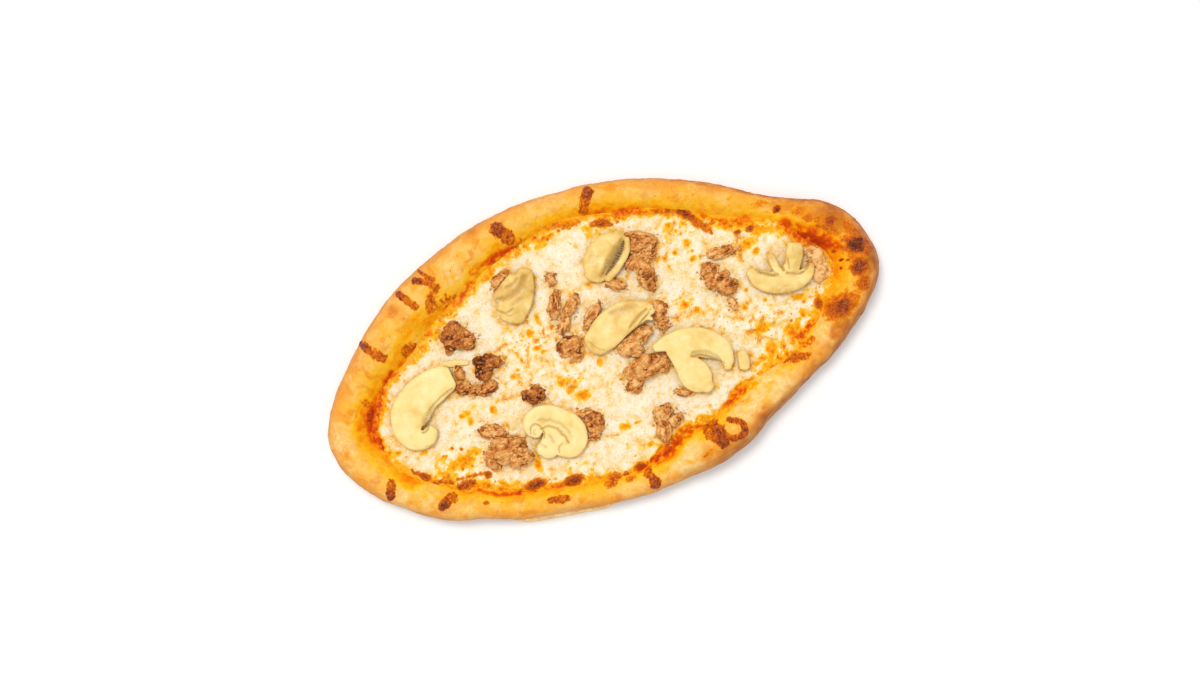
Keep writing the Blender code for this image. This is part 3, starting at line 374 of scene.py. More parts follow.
# Creases pressed into the slices, as strokes of (x, y, half-width), and their depth.
CREASES = {
    "mushroom_hooked": (
        (((-100.8, -9, 0.7), (-102.5, -11.3, 0.8), (-104.8, -11.8, 0.6)), 0.9),
        (((-97.5, -17.5, 0.4), (-101, -19.6, 0.5), (-106, -19.8, 0.4)), 0.15),
    ),
    "mushroom_spiral": (
        (((-45.2, -31.4, 0.5), (-42, -31.4, 0.7), (-38.2, -33.4, 0.8), (-36, -36.8, 0.8), (-34.4, -40, 0.7),
          (-34, -43.2, 0.5)), 0.8),
        (((-45.6, -36.5, 0.6), (-44.4, -33.4, 0.6), (-44.7, -30.2, 0.6), (-47.3, -28.2, 0.55),
          (-50.2, -29.2, 0.5), (-51.4, -32.2, 0.4)), 0.7),
        (((-49.4, -33.8, 0.35), (-49.8, -31.8, 0.4), (-48, -30.6, 0.35)), 0.35),
        (((-40.4, -46.6, 0.45), (-39.8, -44.2, 0.5), (-37.2, -42.6, 0.45)), 0.5),
        (((-48.6, -39, 0.9), (-46.4, -41.5, 1)), 0.2), (((-42.5, -36.2, 0.9), (-41, -40, 1.1)), 0.25),
        (((-45, -26.8, 0.9), (-40, -28.2, 1.1), (-34.6, -32.6, 1.1), (-31.6, -38.4, 0.9)), 0.2),
    ),
    "mushroom_folded": (
        (((-46.5, 36.6, 0.35), (-43.6, 33.6, 0.45), (-40.2, 32.6, 0.5), (-37.4, 33.4, 0.35)), 0.5),
        (((-44, 34.6, 0.3), (-41.5, 31, 0.4), (-38.5, 30, 0.35)), 0.3),
        (((-44.5, 40.6, 0.8), (-39.5, 39.8, 1.3), (-34, 41, 1.7), (-29.5, 43.5, 1.9), (-26.5, 47, 1.6)), 0.9),
        (((-37, 45.2, 0.7), (-33.5, 45.4, 1), (-30, 47.4, 1)), 0.5),
        (((-36.5, 35.5, 1.3), (-31, 37, 1.3)), 0.2),
    ),
    "mushroom_gilled": (
        (((12.6, 33.6, 1.2), (17.5, 36.8, 2.3), (22.5, 40.6, 2.3), (27.5, 44.8, 1.8),
          (29.5, 48.2, 1)), 0.9),
    ),
    "mushroom_long": (
        (((17, 2.6, 0.6), (20, 4.6, 0.9), (24, 7.2, 0.9), (28.5, 8.8, 0.6)), 0.9),
        (((21.5, 1.8, 0.4), (25, 4.2, 0.6), (29, 6.4, 0.5)), 0.6),
        (((-6, 3.6, 0.4), (-3.6, -1, 0.5), (0.5, -4, 0.4)), 0.22),
        (((10, 13.5, 1.6), (17, 13.2, 1.8), (24, 12.4, 1.4)), 0.25),
    ),
    "mushroom_arched": (
        (((43.2, -22.4, 0.7), (48.5, -24.6, 0.9), (53.5, -28.5, 0.9), (56.3, -33.5, 0.7)), 1),
    ),
    "mushroom_crescent": (
        (((105.2, 1.6, 0.5), (107.5, 0.6, 0.7), (110.5, -0.4, 0.7), (113.4, -0.4, 0.5)), 0.9),
        (((92.5, 7.5, 0.8), (96, 4.4, 1), (100, 2.2, 0.8)), 0.7),
        (((104.2, 3.2, 0.5), (103.6, 7, 0.6)), 0.6),
        (((107.6, 3.5, 0.4), (108, 8.5, 0.5)), 0.5),
    ),
}
# Gills that show on the slices, as strokes of (x, y, half-width), and how dark they are.
GILLS = {
    "mushroom_hooked": (
        (((-82.4, 4.6, 0.6), (-88.6, 2.6, 0.8), (-94.8, -0.4, 1), (-99.2, -4.2, 2),
          (-102.4, -8.4, 2.2)), 0.55),
    ),
    "mushroom_gilled": (
        (((13.6, 34.6, 1), (17.4, 38, 2.8), (21.6, 41.6, 3.2), (25.6, 45.2, 2.6),
          (28.4, 48, 1)), 0.45),
        (((15.2, 33.8, 0.6), (19.4, 36.8, 1.6), (23.6, 40.2, 2.2), (27.4, 43.8, 1.9),
          (29.6, 47, 0.7)), 1.5),
    ),
    "mushroom_arched": (
        (((44.2, -21, 1), (49.8, -22.8, 1.9), (54.8, -26.8, 1.9), (57.6, -32, 0.9)), 0.42),
    ),
    "mushroom_crescent": (
        (((90.5, 8.6, 1.2), (94.5, 5.4, 1.9), (98.5, 2.6, 1.2)), 0.35),
        (((111.5, -1.2, 0.8), (114.8, -0.2, 1.1), (117.2, 1.8, 0.8)), 0.45),
    ),
    "mushroom_long": ((((23.5, 3.4, 0.9), (27.5, 5.8, 1.3), (31, 8.2, 0.9)), 0.3),),
}
# Slices with an end cut straight: a point on the cut and the direction that it faces.
CUTS = {"mushroom_hooked": ((-79.9, 9.5), (1, 0.1)), "mushroom_crescent": ((114.2, 15.4), (0.38, 0.92))}
# How dark each slice is, beside the usual 0.
SLICE_TONES = {
    "mushroom_long": 0.16, "mushroom_crescent": 0.2, "mushroom_gilled": 0.2, "mushroom_folded": 0.29,
    "mushroom_arched": 0.02, "mushroom_spiral": -0.04,
}
# How dark each flake is, beside the usual 0.
DARK = {
    "tuna_ball": 0.45, "tuna_wedge": 0.75, "tuna_dark": 0.7, "tuna_edge": 0.25, "tuna_heap": 0.1,
    "tuna_sliver": 0.3, "tuna_trail": 0.25, "tuna_pale": -0.55, "tuna_top": 0.1, "tuna_large": 0.15,
    "tuna_crumbled": 0.2, "tuna_crumb": 0.2, "tuna_block": 0.1,
}
# Flakes of short grains instead of long fibres.
GRANULAR = (
    "tuna_ball", "tuna_dark", "tuna_sliver", "tuna_trail", "tuna_crumbled", "tuna_pale", "tuna_wedge",
    "tuna_speck",
)

ALBEDO = 0.77  # a colour seen as white in the photograph reflects this much
WARM = (1.0, 0.66, 0.34, 1)  # the tint of reflections in oily brown food
GLOW = {"Subsurface_Radius": (1.0, 0.6, 0.3), "Subsurface_Scale": 1.5 * MM}  # light that soaks into pale food
LINE_RADIUS = 18  # fine lines round the crust: radius of the noise that they are read from ...
LINE_SPAN = 45  # ... and the height of it that the crust's side covers


# ---- Noise and fields, over arrays of points ----
FLAT_CUT = 0.37  # where noise over flat points is cut, as a share of its size
NOISE_GAIN = 1.4  # brings gradient noise to about -1 to 1
FAR = 9.0  # stands for any greater distance


def hashed(x, y, z, seed):
    """A scrambled 32-bit number for each whole-numbered place."""
    number = (x * 374761393 + y * 668265263 + z * 1103515245 + seed * 974634777) & 0xFFFFFFFF
    number = number.astype(np.uint32)
    for shift, factor in ((13, 1274126177), (15, 2246822519)):
        number = (number ^ (number >> np.uint32(shift))) * np.uint32(factor)
    return number ^ (number >> np.uint32(16))


def share_of(number, first, count):
    """Some of a number's bits, as a share of 0 to 1."""
    top = 2**count - 1
    return ((number >> np.uint32(first)) & np.uint32(top)) / top


def grain(points, size, seed):
    """Gradient noise of about -1 to 1, with features of the given size. points has 2 or 3 columns."""
    scaled = np.asarray(points, float) / size
    if scaled.shape[1] == 2:
        scaled = np.column_stack([scaled, np.full(len(scaled), FLAT_CUT)])
    base = np.floor(scaled).astype(np.int64)
    past = scaled - base
    fade = past * past * past * (past * (past * 6 - 15) + 10)
    total = np.zeros(len(scaled))
    for corner in np.ndindex(2, 2, 2):
        number = hashed(*(base + corner).T, seed)
        slope = sum((2 * share_of(number, 10 * n, 10) - 1) * (past[:, n] - corner[n]) for n in range(3))
        total += slope * np.where(corner, fade, 1 - fade).prod(axis=1)
    return total * NOISE_GAIN


def rough(points, size, octaves, seed):
    """Several sizes of grain added up, each half the size and the depth of the last."""
    return sum(0.5**n * grain(points, size / 2**n, seed + n) for n in range(octaves))


def cells(points, size, seed):
    """For jittered cells: distance to the nearest centre, and that cell's random share of 0 to 1."""
    scaled = points / size
    base = np.floor(scaled).astype(np.int64)
    best, share = np.full(len(scaled), FAR), np.zeros(len(scaled))
    for shift in ((i, j) for i in (-1, 0, 1) for j in (-1, 0, 1)):
        cell = base + shift
        number = hashed(*cell.T, 0, seed)
        jitter = np.column_stack([share_of(number, first, 12) for first in (0, 12)]) - 0.5
        away = np.hypot(*(scaled - (cell + 0.5 + 0.8 * jitter)).T)
        nearer = away < best
        best = np.where(nearer, away, best)
        share = np.where(nearer, share_of(number, 24, 8), share)
    return best * size, share


def smooth(value, low, high):
    """0 below low, 1 above high, and a smooth step between. low may be above high."""
    t = np.clip((value - low) / (high - low), 0, 1)
    return t * t * (3 - 2 * t)


def lumpiness(points, lumps):
    """The solids' own lumps, at an array of points."""
    total = np.zeros(len(points))
    for size, depth in lumps:
        moved = points / size + np.array([size, 0, 0])
        total += depth * np.array([noise.noise(row) for row in moved.tolist()])
    return total


def stroke(xy, rows, reach):
    """How far each point lies from a line of (x, y, half-width), in half-widths, and how far along in mm."""
    rows = np.array(rows, float)
    away, along = np.full(len(xy), FAR), np.zeros(len(xy))
    room = rows[:, 2].max() * reach
    low, high = rows[:, :2].min(0) - room, rows[:, :2].max(0) + room
    near = np.flatnonzero(((xy > low) & (xy < high)).all(1))
    done = 0.0
    for a, b in zip(rows, rows[1:]):
        step, offset = b[:2] - a[:2], xy[near] - a[:2]
        length = math.hypot(*step)
        t = np.clip(offset @ step / length**2, 0, 1)
        gap = np.hypot(*(offset - t[:, None] * step).T) / (a[2] + t * (b[2] - a[2]))
        nearer = gap < away[near]
        away[near[nearer]] = gap[nearer]
        along[near[nearer]] = done + t[nearer] * length
        done += length
    return away, along


def strokes_mask(xy, lines, far, near, wobble=0.0):
    """1 on any of the strokes, fading to 0 from near to far half-widths away from its middle."""
    return np.max([smooth(stroke(xy, rows, 2.5)[0] + wobble, far, near) for rows in lines], axis=0)


def oval(xy, x, y, long, wide, turn=0.0):
    """How far each point lies from a place, in half-sizes of an oval."""
    c, s = math.cos(math.radians(turn)), math.sin(math.radians(turn))
    dx, dy = xy[:, 0] - x, xy[:, 1] - y
    return np.hypot((dx * c + dy * s) / long, (-dx * s + dy * c) / wide)


def hills(xy, rows):
    """Soft round hills of (x, y, reach, height), one for each row."""
    return [high * np.exp(-oval(xy, x, y, reach, reach) ** 2) for x, y, reach, high in rows]


def tones(xy, rows):
    """Soft hills added up, and held within -1 and 1."""
    return np.clip(sum(hills(xy, rows)), -1, 1)


def areas(xy, rows, far=1.3, near=0.5, wobble=0.0):
    """Soft oval areas of (x, y, half-length, half-width, strength), the strongest at each point."""
    return np.max([high * smooth(oval(xy, *row) + wobble, far, near) for *row, high in rows], axis=0)


def dome(away):
    """A round top of height 1 over a place, down to 0 at its edge."""
    return np.sqrt(np.clip(1 - away * away, 0, 1))


def redness(xy):
    """How much sauce shows where it stains the dough or the cheese."""
    return 0.36 + 0.24 * tones(xy, REDDER)


def each_of(groups):
    """The rows of all the groups in one list."""
    return [row for group in groups for row in group]


# ---- Curves and meshes ----
def catmull(a, b, c, d, t):
    """Between b and c on a Catmull-Rom curve."""
    return ((-a + 3 * b - 3 * c + d) * t**3 + (2 * a - 5 * b + 4 * c - d) * t**2 + (c - a) * t) / 2 + b


def extended(rows):
    """The rows with one more at each end, straight on."""
    return np.concatenate([2 * rows[:1] - rows[1:2], rows, 2 * rows[-1:] - rows[-2:-1]])


def run(points):
    """How far along a path each of its points lies."""
    return np.concatenate([[0], np.cumsum(np.hypot(*np.diff(points, axis=0).T))])


def spline(rows, count, closed):
    """count rows along a Catmull-Rom curve through the given rows, evenly spaced along x and y."""
    rows = np.array(rows, float)
    held = np.vstack([rows[-1:], rows, rows[:2]]) if closed else extended(rows)
    t = np.arange(32)[:, None] / 32
    fine = [catmull(a, b, c, d, t) for a, b, c, d in zip(held, held[1:], held[2:], held[3:])]
    fine = np.vstack(fine + [rows[:1] if closed else rows[-1:]])
    lengths = run(fine[:, :2])
    wanted = lengths[-1] * np.arange(count) / (count if closed else count - 1)
    return np.column_stack([np.interp(wanted, lengths, column) for column in fine.T])


def curve(rows):
    """A smooth line through a few rows of (x, y, half-width)."""
    return spline(rows, 8 * len(rows), closed=False)


class Stations:
    """Sections round the boat: outermost points, the way in, the rim's widths and crest heights."""

    def __init__(self, count):
        rows = spline(RIM, count, closed=True)
        self.point, self.width = rows[:, :2], rows[:, 2]
        inward = np.column_stack([SPINE * self.point[:, 0], np.zeros(count)]) - self.point
        self.inward = inward / np.hypot(*inward.T)[:, None]
        self.crest = CREST_BASE + CREST_SHARE * self.width
        self.foot = self.at(self.width)

    def at(self, inset):
        """Points the given way in, as x and y."""
        return self.point + self.inward * np.broadcast_to(inset, len(self.point))[:, None]


def ring(xy, z):
    """Points of one ring, with z a number or one for each."""
    return np.column_stack([xy, np.broadcast_to(z, len(xy))])


def loft_faces(rings, count):
    """Quads through rings of count points each, and one face over each end."""
    this = np.arange(count)
    after = (this + 1) % count
    quad = np.column_stack([this, after, count + after, count + this])
    quads = np.vstack([first + quad for first in np.arange(rings - 1) * count])
    return quads.tolist() + [this[::-1].tolist(), ((rings - 1) * count + this).tolist()]


def joined(parts):
    """The points and faces of closed parts as one."""
    points, faces, shift = [], [], 0
    for shape, corners in parts:
        points.append(shape)
        faces += [[k + shift for k in face] for face in corners]
        shift += len(shape)
    return np.vstack(points), faces


def add_masks(found, masks):
    """Masks as attributes of an object's points."""
    for name, values in masks.items():
        made = found.data.attributes.new(name, "FLOAT", "POINT")
        made.data.foreach_set("value", np.asarray(values, np.float32))


def make_mesh(name, points, faces, masks):
    """An object in metres, shaded smooth, with its masks."""
    data = bpy.data.meshes.new(name)
    data.from_pydata((np.asarray(points) * MM).tolist(), [], faces)
    data.shade_smooth()
    made = bpy.data.objects.new(name, data)
    add_masks(made, masks)
    bpy.context.scene.collection.objects.link(made)
    return made


def vectors_of(rows, field):
    """The places or the normals of a mesh's points, as an array."""
    flat = np.empty(3 * len(rows), np.float32)
    rows.foreach_get(field, flat)
    return flat.reshape(-1, 3).astype(float)


def settle(piece, slot, material, *nodes):
    """Puts a finished piece on the body, in place of its nodes."""
    piece.data.materials.append(material)
    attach(piece, "root")
    if nodes:
        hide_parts(*nodes)


# ---- Materials ----
def seen(text):
    """The linear colour of a surface that the photograph shows in this sRGB colour."""
    parts = [int(text[k : k + 2], 16) / 255 for k in (1, 3, 5)]
    linear = [((c + 0.055) / 1.055) ** 2.4 if c > 0.04045 else c / 12.92 for c in parts]
    return (*(ALBEDO * c for c in linear), 1.0)


class Look:
    """A node material put together step by step. A colour may be given as it is seen, as text."""

    def __init__(self, name):
        self.material = bpy.data.materials.new(name)
        self.material.use_nodes = True
        self.tree = self.material.node_tree
        self.surface = self.tree.nodes["Principled BSDF"]
        self.place = self.add("TexCoord", "Object", {})
        self.shifted = self.add("VectorMath", "Vector", {0: self.place, 1: (3, 5, 7)})

    def add(self, kind, output, inputs, **settings):
        """Adds a node, and gives its output."""
        made = self.tree.nodes.new("ShaderNode" + kind)
        for key, value in settings.items():
            setattr(made, key, value)
        for key, value in inputs.items():
            self.feed(made.inputs[key], value)
        return made.outputs[output]

    def feed(self, socket, value):
        if isinstance(value, bpy.types.NodeSocket):
            self.tree.links.new(value, socket)
        else:
            socket.default_value = seen(value) if isinstance(value, str) else value

    def mask(self, name):
        return self.add("Attribute", "Fac", {}, attribute_name=name)

    def noise(self, size, detail=4.0, distortion=0.0, place=None):
        """Noise of 0 to 1, mostly near 0.5, with features of the given size in mm."""
        scale = 1 / (size * MM)
        inputs = {"Vector": place or self.place, "Scale": scale, "Detail": detail, "Distortion": distortion}
        return self.add("TexNoise", "Fac", inputs)

    def math(self, operation, a, b=0.0, clamp=False):
        return self.add("Math", 0, {0: a, 1: b}, operation=operation, use_clamp=clamp)

    def plus(self, a, b):
        return self.math("ADD", a, b)

    def minus(self, a, b):
        return self.math("SUBTRACT", a, b)

    def times(self, a, b):
        return self.math("MULTIPLY", a, b)

    def swing(self, value, amount):
        """How far noise is from its middle, times an amount."""
        return self.times(self.minus(value, 0.5), amount)

    def step(self, value, low, high, top=1.0, bottom=0.0):
        """bottom below low, and top above high."""
        inputs = {"Value": value, "From Min": low, "From Max": high, "To Min": bottom, "To Max": top}
        return self.add("MapRange", "Result", inputs, interpolation_type="SMOOTHSTEP")

    def combine(self, x, y, z):
        return self.add("CombineXYZ", 0, {"X": x, "Y": y, "Z": z})

    def blend(self, factor, a, b, mode="MIX"):
        """A share of colour b over colour a. They are inputs 6 and 7 of the node, and output 2."""
        return self.add("Mix", 2, {0: factor, 6: a, 7: b}, data_type="RGBA", blend_type=mode)

    def dab(self, colour, value, low, high, shade, share=1.0):
        """A share of a shade over a colour, where a value is past low and towards high."""
        return self.blend(self.step(value, low, high, share), colour, shade)

    def ramp(self, factor, stops):
        made = self.tree.nodes.new("ShaderNodeValToRGB")
        self.feed(made.inputs["Fac"], factor)
        row = made.color_ramp.elements
        while len(row) < len(stops):
            row.new(0.5)
        for element, (at, colour) in zip(row, stops):
            element.position = at
            element.color = seen(colour)
        return made.outputs["Color"]

    def bump(self, height, depth, normal=None):
        """Bumps as deep as depth, in mm, over those of normal."""
        inputs = {"Height": height, "Distance": depth * MM, "Strength": 1.0}
        if normal:
            inputs["Normal"] = normal
        return self.add("Bump", "Normal", inputs)

    def oiled(self, colour, amount, size=2.2, change=0.30):
        """Yellow oil over a colour, then orange, then red sauce, as the amount grows from 0 to 1."""
        patchy = self.step(self.noise(size, 4, 0.5), 0.28, 0.72, 1 + change, 1 - change)
        value = self.times(amount, patchy)
        oil = self.ramp(value, (
            (0.10, "#FDDC78"), (0.22, "#FCC430"), (0.36, "#FBAA0E"), (0.50, "#F38404"), (0.64, "#E26004"),
            (0.80, "#CE450C"), (1.0, "#B43A10"),
        ))
        return self.blend(self.step(value, 0.04, 0.26), colour, oil, "DARKEN")

    def browned(self, colour, amount, shaded=0.0):
        """Baked cheese over a colour, from orange to nearly black, as the amount grows from 0 to 1, with pale
        painted glints where it is brown.
        """
        value = self.times(amount, self.step(self.noise(1.1, 4, 0.5), 0.30, 0.68, 1.28, 0.72))
        brown = self.ramp(value, (
            (0.15, "#F8A61C"), (0.32, "#E27C0E"), (0.48, "#C85C14"), (0.64, "#AA4A1A"), (0.82, "#7C3820"),
            (1.0, "#56281E"),
        ))
        baked = self.blend(self.step(self.minus(value, shaded), 0.06, 0.28), colour, brown, "DARKEN")
        # Painted glints: pale specks over the browner parts.
        painted_glint = self.step(self.noise(0.8, 2), 0.62, 0.72)
        return self.blend(self.times(painted_glint, self.step(value, 0.34, 0.5, 0.5)), baked, "#F2A862")

    def glossy(self, dry, change):
        """Roughness that is less by a change where oil or browned cheese lies."""
        gloss = self.math("MAXIMUM", self.mask("oil"), self.mask("brown"), clamp=True)
        return self.minus(dry, self.times(gloss, change))

    def finish(self, colour, roughness, normal, **others):
        inputs = {"Base Color": colour, "Roughness": roughness, "Normal": normal}
        for key, value in (inputs | others).items():
            self.feed(self.surface.inputs[key.replace("_", " ")], value)
        return self.material


def dough_colour(look, fine):
    """Dough by its place from the underside to the filling, mottled, paler in parts and toasted, with painted
    highlights and painted shade.
    """
    band = look.plus(look.mask("band"), look.swing(look.noise(15, 2), 0.14))
    colour = look.ramp(band, (
        (0.0, "#E4BC80"), (0.10, "#CE965A"), (0.20, "#C98A50"), (0.28, "#DC9650"), (0.36, "#F0A042"),
        (0.46, "#FAAA37"), (0.56, "#FDB53E"), (0.66, "#FEB934"), (0.76, "#FFBC2B"), (0.84, "#FFB724"),
    ))
    light = look.step(look.mask("band"), 0.86, 0.66, 0.55)
    colour = look.blend(look.times(look.step(look.noise(9, 3, 0.6), 0.47, 0.64), light), colour, "#FFCE74")
    colour = look.dab(colour, look.noise(7, 4, 0.5, look.shifted), 0.50, 0.66, "#EC8A1A", 0.7)
    colour = look.dab(colour, fine, 0.54, 0.74, "#D9802A", 0.30)
    colour = look.dab(colour, fine, 0.46, 0.30, "#FFD67C", 0.24)
    # Paler dough, with painted highlights where the inner slope catches the light.
    pale = look.times(look.mask("pale"), look.step(look.noise(7, 4), 0.32, 0.55))
    colour = look.blend(pale, colour, look.ramp(fine, ((0.3, "#FFE29A"), (0.6, "#F8C26E"))))
    # Toasted patches, and painted shade in the crease over the ledge.
    toast_and_crease_shade = look.times(look.mask("toast_and_crease_shade"), look.step(look.noise(6, 5, 0.6), 0.25, 0.70, 1.25, 0.55))
    tanned = look.ramp(toast_and_crease_shade, ((0.10, "#F4A23A"), (0.35, "#E08830"), (0.60, "#BE6828"), (0.95, "#8E4620")))
    return look.dab(colour, toast_and_crease_shade, 0.02, 0.40, tanned)


def side_colour(look, colour, fine):
    """The outer side: streaks where it is in shade, fine lines round it, and the pale ledge, brightened as
    painted light.
    """
    band, shaded = look.mask("band"), look.mask("shade")
    streaks = look.ramp(look.mask("layers"), ((0.25, "#90542E"), (0.52, "#B4733E"), (0.80, "#D6A46A")))
    colour = look.blend(shaded, colour, streaks)
    round_x, round_y = (look.times(look.mask(name), MM) for name in ("round_x", "round_y"))
    lines = look.noise(1.4, 3, 0.6, look.combine(round_x, round_y, look.times(band, LINE_SPAN * MM)))
    low = look.times(look.step(band, 0.40, 0.24), look.step(shaded, 0.0, 0.5, 1.0, 0.28))
    for high, shade, share in ((0.68, "#E8C088", 0.26), (0.34, "#8C5228", 0.20)):
        colour = look.blend(look.times(low, look.step(lines, 0.50, high, share)), colour, shade)
    # Pale dough on the ledge, brighter than the crust's other colours: painted light against the shade under
    # the rim.
    cream = look.blend(look.step(fine, 0.35, 0.65), (0.90, 0.68, 0.36, 1), (0.80, 0.48, 0.17, 1))
    return look.blend(look.mask("ledge"), colour, cream)


def crust_material():
    """Baked dough: pale underneath, golden above, oily and orange towards the filling."""
    look = Look("baked_crust")
    band = look.mask("band")
    fine, speck = look.noise(2.6, 6, 0.4), look.noise(0.9, 3)
    colour = side_colour(look, dough_colour(look, fine), fine)
    colour = look.dab(colour, speck, 0.64, 0.76, "#B9632A", 0.22)
    tiny = look.step(look.noise(0.55, 3, 0.0, look.shifted), 0.3, 0.7, 1.05, 0.93)
    colour = look.blend(1.0, colour, look.combine(tiny, tiny, tiny), "MULTIPLY")
    colour = look.oiled(colour, look.mask("oil"), 4.5, 0.25)
    colour = look.browned(colour, look.mask("brown"), look.step(band, 0.52, 0.36, 0.30))
    # Painted light: the inner slope is made a tenth brighter to make up for the shade that it lies in.
    colour = look.blend(look.step(band, 0.60, 0.80), colour, (1.1, 1.1, 1.1, 1), "MULTIPLY")
    normal = look.bump(speck, 0.14, look.bump(fine, 0.40))
    return look.finish(colour, look.glossy(0.58, 0.26), normal, Specular_IOR_Level=0.13, Specular_Tint=WARM)


def sauce_material():
    """Wet tomato sauce, red where it is thick and orange where oil lies on it."""
    look = Look("tomato_sauce_wet")
    colour = look.oiled("#F8B040", look.mask("oil"))
    normal = look.bump(look.noise(1.6, 4), 0.4)
    return look.finish(colour, 0.28, normal, Specular_IOR_Level=0.14, Specular_Tint=WARM)


def cheese_material():
    """Melted cheese: white curds, peach where it is thin, orange oil in its pits, brown at its edges."""
    look = Look("melted_cheese")
    fine, middling = look.noise(1.3, 5, 0.3), look.noise(2.8, 6, 0.8)
    tone = look.plus(look.plus(look.mask("tone"), look.swing(middling, 0.55)), look.swing(fine, 0.25))
    colour = look.ramp(tone, (
        (0.0, "#DE8216"), (0.12, "#F0A030"), (0.26, "#F8BE52"), (0.42, "#FBD382"), (0.60, "#FAE2AE"),
        (0.86, "#FDF0D2"),
    ))
    for size, distortion, place, shade, share in (
        (4.2, 1.6, look.place, "#FFF8E6", 0.60), (5.0, 1.8, look.shifted, "#E9B468", 0.42),
    ):
        strands = look.math("ABSOLUTE", look.minus(look.noise(size, 3, distortion, place), 0.5))
        colour = look.dab(colour, strands, 0.030, 0.006, shade, share)
    speck = look.minus(look.noise(2.4, 4, 0.6, look.shifted), look.times(look.mask("tone"), 0.14))
    colour = look.dab(colour, speck, 0.53, 0.62, "#F2B134", 0.70)
    colour = look.oiled(colour, look.mask("oil"))
    colour = look.browned(colour, look.mask("brown"))
    normal = look.bump(fine, 0.25, look.bump(middling, 0.35))
    return look.finish(colour, look.glossy(0.34, 0.16), normal, Specular_IOR_Level=0.16, Specular_Tint=WARM,
                       Subsurface_Weight=0.06, **GLOW)


def mushroom_material():
    """Tinned mushroom: smooth and creamy, browner and with painted shade in its creases and at its sides, and
    dark at its gills.
    """
    look = Look("mushroom_flesh")
    tone = look.plus(look.step(look.noise(8, 4, 0.8), 0.3, 0.7, 0.62, 0.42), look.mask("tint"))
    colour = look.ramp(tone, (
        (0.05, "#C08C34"), (0.24, "#DEB056"), (0.42, "#F2CC76"), (0.58, "#FADC8C"), (0.80, "#FEE6A4"),
    ))
    colour = look.dab(colour, look.noise(2.2, 5), 0.56, 0.75, "#E3BE6C", 0.22)
    colour = look.dab(colour, look.noise(6, 3, 0.8, look.shifted), 0.50, 0.68, "#FFEFB8", 0.36)
    # Tan sides: browner skin, and painted shade where the surface turns down.
    colour = look.blend(look.mask("side"), colour, "#EAB870")
    # Creases: browner flesh, and painted shade.
    colour = look.blend(look.mask("crease"), colour, "#C08C46")
    gills = look.ramp(look.noise(0.8, 2), ((0.35, "#46301C"), (0.65, "#886A46")))
    colour = look.blend(look.mask("gill"), colour, gills)
    normal = look.bump(look.noise(1.2, 4), 0.07)
    return look.finish(colour, 0.40, normal, Specular_IOR_Level=0.3, Specular_Tint=(1.0, 0.92, 0.74, 1),
                       Subsurface_Weight=0.22, **GLOW)


def tuna_material():
    """Flaked tuna: tan fibres over dark brown, lighter where it bulges and darker in its crevices, as painted
    light and shade.
    """
    look = Look("tuna_flesh")
    fine = look.noise(1.1, 5, 0.6)
    value = look.plus(look.mask("ridge"), look.swing(fine, 0.9))
    value = look.minus(value, look.times(look.mask("dark"), 0.42))
    colour = look.ramp(value, (
        (0.05, "#4A1E0A"), (0.26, "#8A4218"), (0.44, "#BC6C2C"), (0.64, "#DE9244"), (0.88, "#F6C47E"),
    ))
    normal = look.bump(fine, 0.25)
    return look.finish(colour, 0.42, normal, Specular_IOR_Level=0.18, Specular_Tint=(1.0, 0.88, 0.74, 1))


# ---- Crust ----
STATIONS = 1280  # sections round the crust and the sauce
STATION_STEP = 0.64  # how far apart they are, about
CRUST_ROWS = 60  # rows of points from the underside, over the crest and down to the filling
SKIN_WIDTH = 60  # how far that way is, about
UNDERSIDE = (0.94, 0.8, 0.6, 0.35, 0.15)  # rings of the flat underside, as shares of the way to the long axis
LARGE_BLISTER = 7  # a blister of a larger radius has spokes and a burnt core
SMALL_BLISTER = 4  # one of this radius or less is baked darkest all over
SHADED_WAY = (0.55, -0.83)  # the crust's side that faces this way lies in shade


def crust_sections(stations):
    """The rim's sections as smooth curves: insets, heights, shares of the crest's height, and bands."""
    width, crest = stations.width, stations.crest
    section = OUTER_SECTION + INNER_SECTION
    insets = [share * width for share, _ in section] + [width + FLANK]
    heights = [up * crest for _, up in OUTER_SECTION]
    heights += [FILL_LEVEL + up * (crest - FILL_LEVEL) for _, up in INNER_SECTION] + [FLOOR + 0 * width]
    ups = [np.full(len(width), up) for _, up in section] + [0 * width]
    held = extended(np.array([insets, heights, ups]).transpose(1, 0, 2))
    last = len(held) - 3

    def at(place):
        first = min(int(place), last - 1)
        return catmull(*held[first : first + 4], place - first)

    fine = np.linspace(0, last - 1, 400)
    lengths = run(np.array([at(place)[:2].mean(1) for place in fine]))
    steps = np.interp(np.linspace(0, lengths[-1], CRUST_ROWS - 2), lengths, fine)
    steps = np.concatenate([steps, [last - 0.5, last]])
    found = np.array([at(place) for place in steps])
    return found[:, 0], found[:, 1], np.clip(found[:, 2], 0, 1), steps / last


